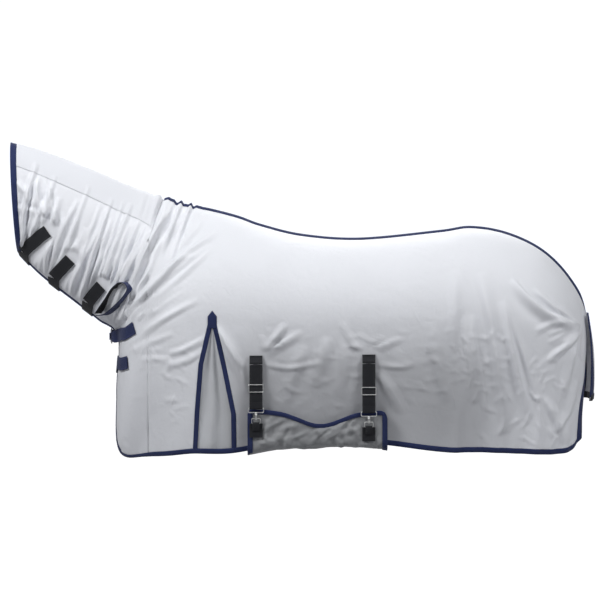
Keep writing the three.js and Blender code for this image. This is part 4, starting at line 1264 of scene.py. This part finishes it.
def one_piece(name, parts):
    """Parts joined under one name, with their faces looking outwards."""
    bpy.ops.object.select_all(action="DESELECT")
    for part in parts:
        part.select_set(True)
    bpy.context.view_layer.objects.active = parts[0]
    bpy.ops.object.join()
    piece = bpy.context.object
    piece.name = name
    merge_doubles(piece)
    bpy.ops.object.mode_set(mode="EDIT")
    bpy.ops.mesh.select_all(action="SELECT")
    bpy.ops.mesh.normals_make_consistent(inside=False)
    bpy.ops.object.mode_set(mode="OBJECT")
    return piece


def box(half, front, low, high):
    """Corners of an upright rectangle facing forwards, at this distance out."""
    return [(-half, -front, low), (half, -front, low), (half, -front, high), (-half, -front, high)]


# %% Hook, gate, ring and slider
eye = bent("eye", box(EYE_HALF - 0.0018, CLIP_OUT, -0.0170, 0.0), 0.0019, 0.005, True)
bpy.ops.object.select_all(action="DESELECT")
bpy.ops.mesh.primitive_cylinder_add(vertices=28, radius=0.0052, depth=0.0058,
                                    location=(0, -CLIP_OUT, -0.0202))
swivel = bpy.context.object
apply_modifier(swivel, "BEVEL", width=0.0011, segments=3, limit_method="ANGLE")
bpy.ops.object.select_all(action="DESELECT")
swivel.select_set(True)
bpy.ops.object.transform_apply(location=True, rotation=True, scale=True)
hook_line = [(0.0165, -0.0210, 0), (0.0215, -0.0245, 0), (0.0215, -0.0415, 0), (0.0165, -0.0442, 0),
             (0.0105, -0.0425, 0),
             (0.0102, -0.0330, 0)]
claw = bent("claw", hook_line, 0.0014, 0.0035, False, 0.0030)
HOOK = one_piece("hook_shape", [eye, swivel, claw])
GATE = bent("gate_shape", [(0.0190, -0.0238, 0), (0.0170, -0.0262, 0), (0.0113, -0.0318, 0)], 0.0007, 0.001,
            False, 0.0026)
RING = bent("ring_shape", box(RING_HALF - WIRE_RADIUS, CLIP_OUT, RING_LOW + WIRE_RADIUS,
                              RING_TOP - WIRE_RADIUS),
            WIRE_RADIUS, 0.0045, True)
SLIDER_HALF = STRAP_WIDTH / 2 + 0.003
STRAP_OUT = CLIP_OUT - 0.0037
frame_out = STRAP_OUT + 0.0034
slider_frame = bent("slider_frame", box(SLIDER_HALF, frame_out, -0.0140, 0.0140), 0.0017, 0.005, True)
slider_bar = bent("slider_bar", [(-SLIDER_HALF, -frame_out, 0),
                                 (-SLIDER_HALF + 0.0012, -STRAP_OUT + 0.0034, 0),
                                 (SLIDER_HALF - 0.0012, -STRAP_OUT + 0.0034, 0),
                                 (SLIDER_HALF, -frame_out, 0)], 0.0014, 0.001)
SLIDER = one_piece("slider_shape", [slider_frame, slider_bar])


def set_piece(shape, name, place, body, node):
    """A copy of a metal shape, moved into place inside its mesh."""
    piece = bpy.data.objects.new(name, shape.data.copy())
    bpy.context.scene.collection.objects.link(piece)
    piece.data.transform(place)
    finish_piece(piece, "steel", body, [node])
    use(piece)
    bpy.ops.object.shade_smooth_by_angle(angle=math.radians(50))
    return piece


CHEST_PLACE = Matrix(((0, 1, 0, -0.730), (0, 0, 1, 0.034), (1, 0, 0, -0.392), (0, 0, 0, 1)))
CLIPS = [("chest", CHEST_PLACE)]
for name, x, top, end, slider, flank in BELLY_STRAPS:
    place = Matrix.Translation((x, -flank, end))
    CLIPS.append((name, place))
    set_piece(SLIDER, f"slider_{name}", Matrix.Translation((x, -flank, slider)), f"belly_slider_{name}",
              f"belly_slider_{name}")
for name, place in CLIPS:
    first = "chest" if name == "chest" else "belly"
    last = "" if name == "chest" else "_" + name
    set_piece(HOOK, f"{name}_clip_hook", place, f"{first}_hook{last}", f"{first}_hook{last}")
    set_piece(GATE, f"{name}_clip_gate", place, f"{first}_hook_gate{last}", f"{first}_hook_gate{last}")
    set_piece(RING, f"{name}_clip_ring", place, f"{first}_ring{last}", f"{first}_ring{last}")
bpy.ops.object.select_all(action="DESELECT")
for shape in (HOOK, GATE, RING, SLIDER):
    shape.select_set(True)
bpy.ops.object.delete()

# %% [markdown]
# ## Belly straps
# Each belly strap hangs from a short anchor sewn high on the flank, passes through a slider and folds round
# the clip's eye. A patch folded through the ring is sewn to the belly flap.

# %% Belly straps and patches


def round_bar(start, up, turn_radius, first, last, steps=9):
    """Points (out, up) of a half turn round a bar."""
    angles = np.radians(np.linspace(first, last, steps))
    return [(start + turn_radius * math.cos(a), up + turn_radius * math.sin(a)) for a in angles]


EYE_FOLD = 0.0037
for name, x, top, end, slider, flank in BELLY_STRAPS:
    def hung(points):
        """World places of points (out, up) on the strap's middle line."""
        return [(x, -flank - out, end + up) for out, up in points]

    high = top - end
    anchor = [(0.0026, high), (0.0032, high - 0.006), (0.0080, high - 0.018), (STRAP_OUT, high - 0.026),
              (STRAP_OUT, high - 0.033)]
    strap(f"belly_anchor_{name}", spread_route(hung(anchor), 0.002), (1, 0, 0), STRAP_WIDTH,
          "black_webbing", "sheet",
          [f"belly_strap_anchor_{name}"])
    line = [(STRAP_OUT, high - 0.0352 - k * (high - 0.0352) / 24) for k in range(25)]
    line += round_bar(CLIP_OUT, 0, EYE_FOLD, 180, 360)[1:] + [(CLIP_OUT + EYE_FOLD, 0.008),
                                                              (CLIP_OUT + EYE_FOLD, 0.022)]
    strap(f"belly_webbing_{name}", hung(line), (1, 0, 0), STRAP_WIDTH, "black_webbing",
          f"belly_strap_{name}",
          [f"belly_strap_{name}"])
    bar_up = RING_LOW + WIRE_RADIUS
    fold_line = [(0.0110, bar_up - 0.028), (0.0118, bar_up - 0.012)]
    fold_line += round_bar(CLIP_OUT, bar_up, EYE_FOLD, 180, 0) + [(CLIP_OUT + 0.0032, bar_up - 0.012),
                                                                  (0.0135, bar_up - 0.028)]
    strap(f"ring_fold_{name}", hung(fold_line), (1, 0, 0), 0.0275, "black_webbing", "belly_flap",
          [f"belly_flap_patch_{name}"])
    patch = [(0.0100, bar_up - 0.001 - 0.006 * k) for k in range(10)]
    strap(f"flap_patch_{name}", hung(patch), (1, 0, 0), STRAP_WIDTH, "black_webbing",
          "belly_flap", [], 0.002)

# %% [markdown]
# ## Chest closures
# The upper closure runs across the chest: webbing from the off side ends in a clip, and a tab from the near
# side is folded round the ring. The lower tab grips the near edge and peels away.

# %% Chest straps
CHEST_BASIS = np.array(CHEST_PLACE.to_3x3())
CHEST_AT = np.array(CHEST_PLACE.translation)


def on_chest(points):
    """World places of points (out, up) on a strap's middle line across the chest."""
    return [CHEST_BASIS @ np.array([0, -out, up]) + CHEST_AT for out, up in points]


off_line = [(-0.0292, 0.093), (-0.012, 0.072), (0.006, 0.050), (STRAP_OUT - 0.001, 0.034),
            (STRAP_OUT, 0.020), (STRAP_OUT, 0.008)]
off_line = off_line + round_bar(CLIP_OUT, 0, EYE_FOLD, 180, 360) + [(CLIP_OUT + EYE_FOLD, 0.008),
                                                                    (CLIP_OUT + EYE_FOLD, 0.022)]
strap("chest_webbing_off", spread_route(on_chest(off_line), 0.002), (0, 0, 1), STRAP_WIDTH, "navy_webbing",
      "sheet",
      ["chest_strap_off"])

ring_bar = RING_LOW + WIRE_RADIUS
near_line = [(CLIP_OUT + 0.001, ring_bar - 0.014), (CLIP_OUT + EYE_FOLD, ring_bar - 0.005)]
near_line += round_bar(CLIP_OUT, ring_bar, EYE_FOLD, 0, 180, 7) + [(0.0128, ring_bar - 0.008),
                                                                   (0.002, ring_bar - 0.030)]
near_points = [*on_chest(near_line)]
near_out = [np.array((-1.0, 0.0, 0.0))] * len(near_points)
for u, v in ((4.07, 0.962), (4.3, 0.88), (4.6, 0.78), (4.98, 0.65)):
    u, v = np.array([u]), np.array([v])
    near_points.append((form(-1, u, v) + facing(-1, u, v) * (OVER_TAPE + WEBBING / 2))[0])
    near_out.append(facing(-1, u, v)[0])
tab_route = spread_route(near_points, 0.003)
shares = np.linspace(0, len(near_points) - 1, len(tab_route))
tab_out = np.stack([np.interp(shares, range(len(near_out)), np.array(near_out)[:, k]) for k in range(3)], -1)
tab_run = unit(np.gradient(tab_route, axis=0))
laid_share = step_up(shares, len(near_line) - 2.0, len(near_line) + 0.0)[:, None]
tab_across = unit(np.cross(unit(tab_out), tab_run))
tab_across *= np.sign(tab_across[:, 2:3] + 1e-9)
tab_across = unit(np.array([0, 0, 1.0]) * (1 - laid_share) + tab_across * laid_share)
tab_width = 0.0275 + (STRAP_WIDTH - 0.0275) * step_up(shares, len(near_line) - 2.5, len(near_line) - 0.5)
strap("chest_tab_webbing", tab_route, tab_across, tab_width, "navy_webbing", "sheet",
      ["chest_tab_upper"])

LOWER_TAB = 4.56
u, v = (float(k) for k in seen_at(-0.664, -0.487))
lower = [(-1, u + (LOWER_TAB - u) * t, v + (0.965 - v) * t) for t in (0, 0.25, 0.5, 0.75, 1)]
laid_strap("lower_tab_webbing", lower, OVER_TAPE + 0.001, "navy_webbing", "chest_tab_lower",
           ["chest_tab_lower"])
under = [(-1, LOWER_TAB, 0.9675), (-1, LOWER_TAB, 0.98), (-1, LOWER_TAB, 0.993), (-1, LOWER_TAB, 1)]
under += [(1, LOWER_TAB, v) for v in (1, 0.99, 0.975, 0.95, 0.9, 0.84)]
laid_strap("lower_tab_foot", under, OVER_TAPE, "navy_webbing", "sheet", ["chest_tab_lower_base"])

# %% [markdown]
# ## Belly flap
# The belly flap is one cloth from the off hem, under the belly, up to a bound rim on the near side, where
# the two belly straps pull it up. It hangs slack, so it is full of small creases.

# %% Belly flap
FLAP_LEFT, FLAP_RIGHT = -0.200, 0.334
FLAP_OUT = 0.008
RIM = np.array([(-0.200, -0.657), (-0.122, -0.660), (-0.062, -0.669), (0.000, -0.692), (0.040, -0.709),
                (0.076, -0.715),
                (0.110, -0.711), (0.160, -0.692), (0.205, -0.674), (0.250, -0.666), (0.334, -0.661)])
CORNER = 0.030


def rim_height(x):
    """Height of the flap's rim: a slack curve with rounded corners."""
    smooth = sum(np.interp(x + k, RIM[:, 0], RIM[:, 1]) for k in (-0.016, -0.008, 0, 0.008, 0.016)) / 5
    for edge, sign, size in ((FLAP_RIGHT, 1, CORNER), (FLAP_LEFT, -1, CORNER * 0.5)):
        past = np.clip((x - edge) * sign + size, 0, size) / size
        smooth = smooth - size * (1 - np.sqrt(1 - past ** 2))
    return smooth


def flap_route(x):
    """The flap's line round the belly at x, from the near rim to the off hem, as evenly spaced (y, z)."""
    u, v = seen_at(np.array([x]), -0.760)
    flank = float(form(1, u, v)[0, 1])
    hem = float(along(seen_at(np.array([x]), -0.790)[0], 3)[0])
    near = -flank - FLAP_OUT
    line = np.array([(near, float(rim_height(x))), (near, hem + 0.004), (near + 0.012, hem - 0.014),
                     (near + 0.040, hem - 0.021),
                     (-flank * 0.5, hem - 0.024), (0, hem - 0.026), (flank * 0.45, hem - 0.024),
                     (flank - 0.040, hem - 0.017),
                     (flank - 0.006, hem - 0.008)])
    length = np.concatenate([[0], np.cumsum(np.linalg.norm(np.diff(line, axis=0), axis=1))])
    steps = np.linspace(0, length[-1], 226)
    fine = np.stack([np.interp(steps, length, line[:, k]) for k in (0, 1)], -1)
    padded = np.vstack([np.repeat(fine[:1], 4, 0), fine, np.repeat(fine[-1:], 4, 0)])
    return sum(padded[k:k + len(fine)] for k in range(9)) / 9


flap_x = np.linspace(FLAP_LEFT, FLAP_RIGHT, 120)
routes = np.stack([flap_route(x) for x in flap_x])
route_step = np.linalg.norm(np.diff(routes, axis=1), axis=-1).mean(1)
flap_folds = crumples(46, (FLAP_LEFT, -0.84), (FLAP_RIGHT, -0.69), 0.20, 0.0060, (0.007, 0.014))
flap_folds += [fold([(a, -0.70), ((a + b) / 2, -0.765), (b, -0.83)], 0.012, 0.007, 0.3) for a, b in
               ((-0.12, -0.165), (-0.02, -0.06), (0.05, 0.12), (0.14, 0.20), (0.28, 0.235))]


def flap_grid(x, routes, lift):
    """Points of the flap's outer face at every x and along every route, raised by lift."""
    tangent = np.gradient(routes, axis=1)
    tangent /= np.linalg.norm(tangent, axis=-1, keepdims=True)
    out = np.stack([tangent[..., 1], -tangent[..., 0]], -1)
    out *= np.sign(-out[:, :1, :1] + 1e-9)
    xs = np.broadcast_to(x[:, None], routes.shape[:2])
    z_flat = routes[:, :1, 1] - np.cumsum(np.pad(np.linalg.norm(np.diff(routes, axis=1), axis=-1),
                                                 ((0, 0), (1, 0))), axis=1)
    crease = np.zeros(xs.shape)
    for one in flap_folds:
        crease += lift_by(xs, z_flat, one)
    under_bend = 1 - step_up(routes[:, :1, 1] - z_flat, 0.11, 0.16)
    crease = np.clip(crease, -0.004, 0.009) * (0.25 + 0.75 * under_bend)
    for _, strap_x, *_ in BELLY_STRAPS:
        under_patch = (1 - step_up(np.abs(xs - strap_x), 0.026,
                                   0.042)) * (1 - step_up(-0.775 - z_flat, 0, 0.02))
        crease = crease * (1 - under_patch)
    crease = crease * step_up(routes[:, :1, 1] - z_flat, 0.004, 0.03)
    crease = crease * step_up(np.minimum(xs - FLAP_LEFT, FLAP_RIGHT - xs), 0.018, 0.05)
    p = routes + out * (crease + lift - 0.001)[..., None]
    return np.stack([xs, p[..., 0], p[..., 1]], -1)


flap_points = flap_grid(flap_x, routes, np.zeros(routes.shape[:2]))
# Its darker silver is painted shade under the belly.
FLAP = woven_piece("flap_cloth_shaded", [flap_points], lambda p: (0, 0, -1), CLOTH_THICK, "flap_cloth_shaded",
                   "belly_flap",
                   ["belly_flap"])


def flap_edge(s, inward, lift):
    """Places beside the flap's free edges; s runs up the left, along the rim and down the right."""
    depth = 0.165
    turns = np.array([0, depth, depth + FLAP_RIGHT - FLAP_LEFT, 2 * depth + FLAP_RIGHT - FLAP_LEFT])
    d = s * turns[-1]
    x = FLAP_LEFT + np.clip(d - turns[1], 0, turns[2] - turns[1])
    down = np.maximum(np.clip(turns[1] - d, 0, None), np.clip(d - turns[2], 0, None))
    inward = np.broadcast_to(inward, s.shape)
    lift = np.broadcast_to(lift, s.shape)
    left, right = step_up(turns[1] - d, -0.012, 0.012), step_up(d - turns[2], -0.012, 0.012)
    upper = np.clip(1 - left - right, 0, 1)
    x = x + inward * (left - right) / np.sqrt((left + right) ** 2 + upper ** 2)
    down = down + inward * upper / np.sqrt((left + right) ** 2 + upper ** 2)
    column = (np.clip(x, FLAP_LEFT, FLAP_RIGHT) - FLAP_LEFT) / (flap_x[1] - flap_x[0])
    left_column = np.minimum(column.astype(int), len(flap_x) - 2)
    share = (column - left_column)[:, None, None]
    near_routes = routes[left_column] * (1 - share) + routes[left_column + 1] * share
    place = down / route_step.mean()
    before = np.minimum(place.astype(int), routes.shape[1] - 2)
    rows = np.arange(len(s))
    a, b = near_routes[rows, before], near_routes[rows, before + 1]
    yz = a + (b - a) * (place - before)[:, None]
    run = unit(b - a)
    yz = yz + np.stack([run[:, 1], -run[:, 0]], -1) * (lift + 0.0004)[:, None]
    return np.column_stack([x, yz])


rim_length = 0.165 * 2 + FLAP_RIGHT - FLAP_LEFT
edge_tape("flap_rim_tape", flap_edge, rim_length, "tape", "belly_flap",
                          ["belly_flap_rim"],
                          lambda p: (0, -1, 0))

# %% [markdown]
# ## Tail flap
# A small cloth hangs behind the dock, bound with navy tape down its sides. Along its foot runs a binding in
# the black webbing finish: painted shade, black for navy binding in shadow.

# %% Tail flap
TAIL_TOP, TAIL_LOW = -0.298, -0.640


def tail_place(s, t, lift=0.0):
    """Places on the tail flap: s runs down it and t across it."""
    s, t = np.broadcast_arrays(np.asarray(s, float), np.asarray(t, float))
    half = 0.095 + 0.035 * np.minimum(s * 2, 1)
    y = (2 * t - 1) * half
    hang = 1.134 + 0.024 * np.sin(s * 2.4) + 0.0035 * s * np.sin(t * 17) + 0.002 * s * np.sin(t * 31 + 6 * s)
    x = hang - 0.022 * (y / 0.130) ** 2 + 0.003 + lift
    return np.stack([x, y + 0 * s, TAIL_TOP + (TAIL_LOW - TAIL_TOP) * s], -1)


s, t = np.meshgrid(np.linspace(0, 1, 56), np.linspace(0, 1, 44), indexing="ij")
TAIL = woven_piece("tail_cloth", [tail_place(s, t)], lambda p: (1, 0, 0), CLOTH_THICK, "cloth",
                   "tail_flap",
                   ["tail_flap"])
TAIL_LENGTH, TAIL_WIDE = TAIL_TOP - TAIL_LOW, 0.25
for name, edge, sign in (("near", 0.0, 1), ("off", 1.0, -1)):
    def tail_side(s, inward, lift):
        return tail_place(s * 0.96, edge + sign * inward / TAIL_WIDE, lift)

    edge_tape(f"tail_tape_{name}", tail_side, TAIL_LENGTH, "tape",
                                      "tail_flap",
                                      [f"tail_flap_binding_{name}"], lambda p: (1, 0, 0))


def tail_foot(s, inward, lift):
    return tail_place(1 - inward / TAIL_LENGTH, s, lift)


# The foot's black is painted shade, for navy binding in shadow.
edge_tape("tail_foot_shaded_binding", tail_foot, TAIL_WIDE, "black_webbing",
                               "tail_flap",
                               ["tail_flap_hem"], lambda p: (1, 0, 0), 0.024)

# %% [markdown]
# ## Flat sizes
# The sheets are not declared here with the size they were cut to, the places that hold them or the tape
# sewn to them. The sizes are rough ones, judged for each panel and not worked out from the form.

print("all pieces built")
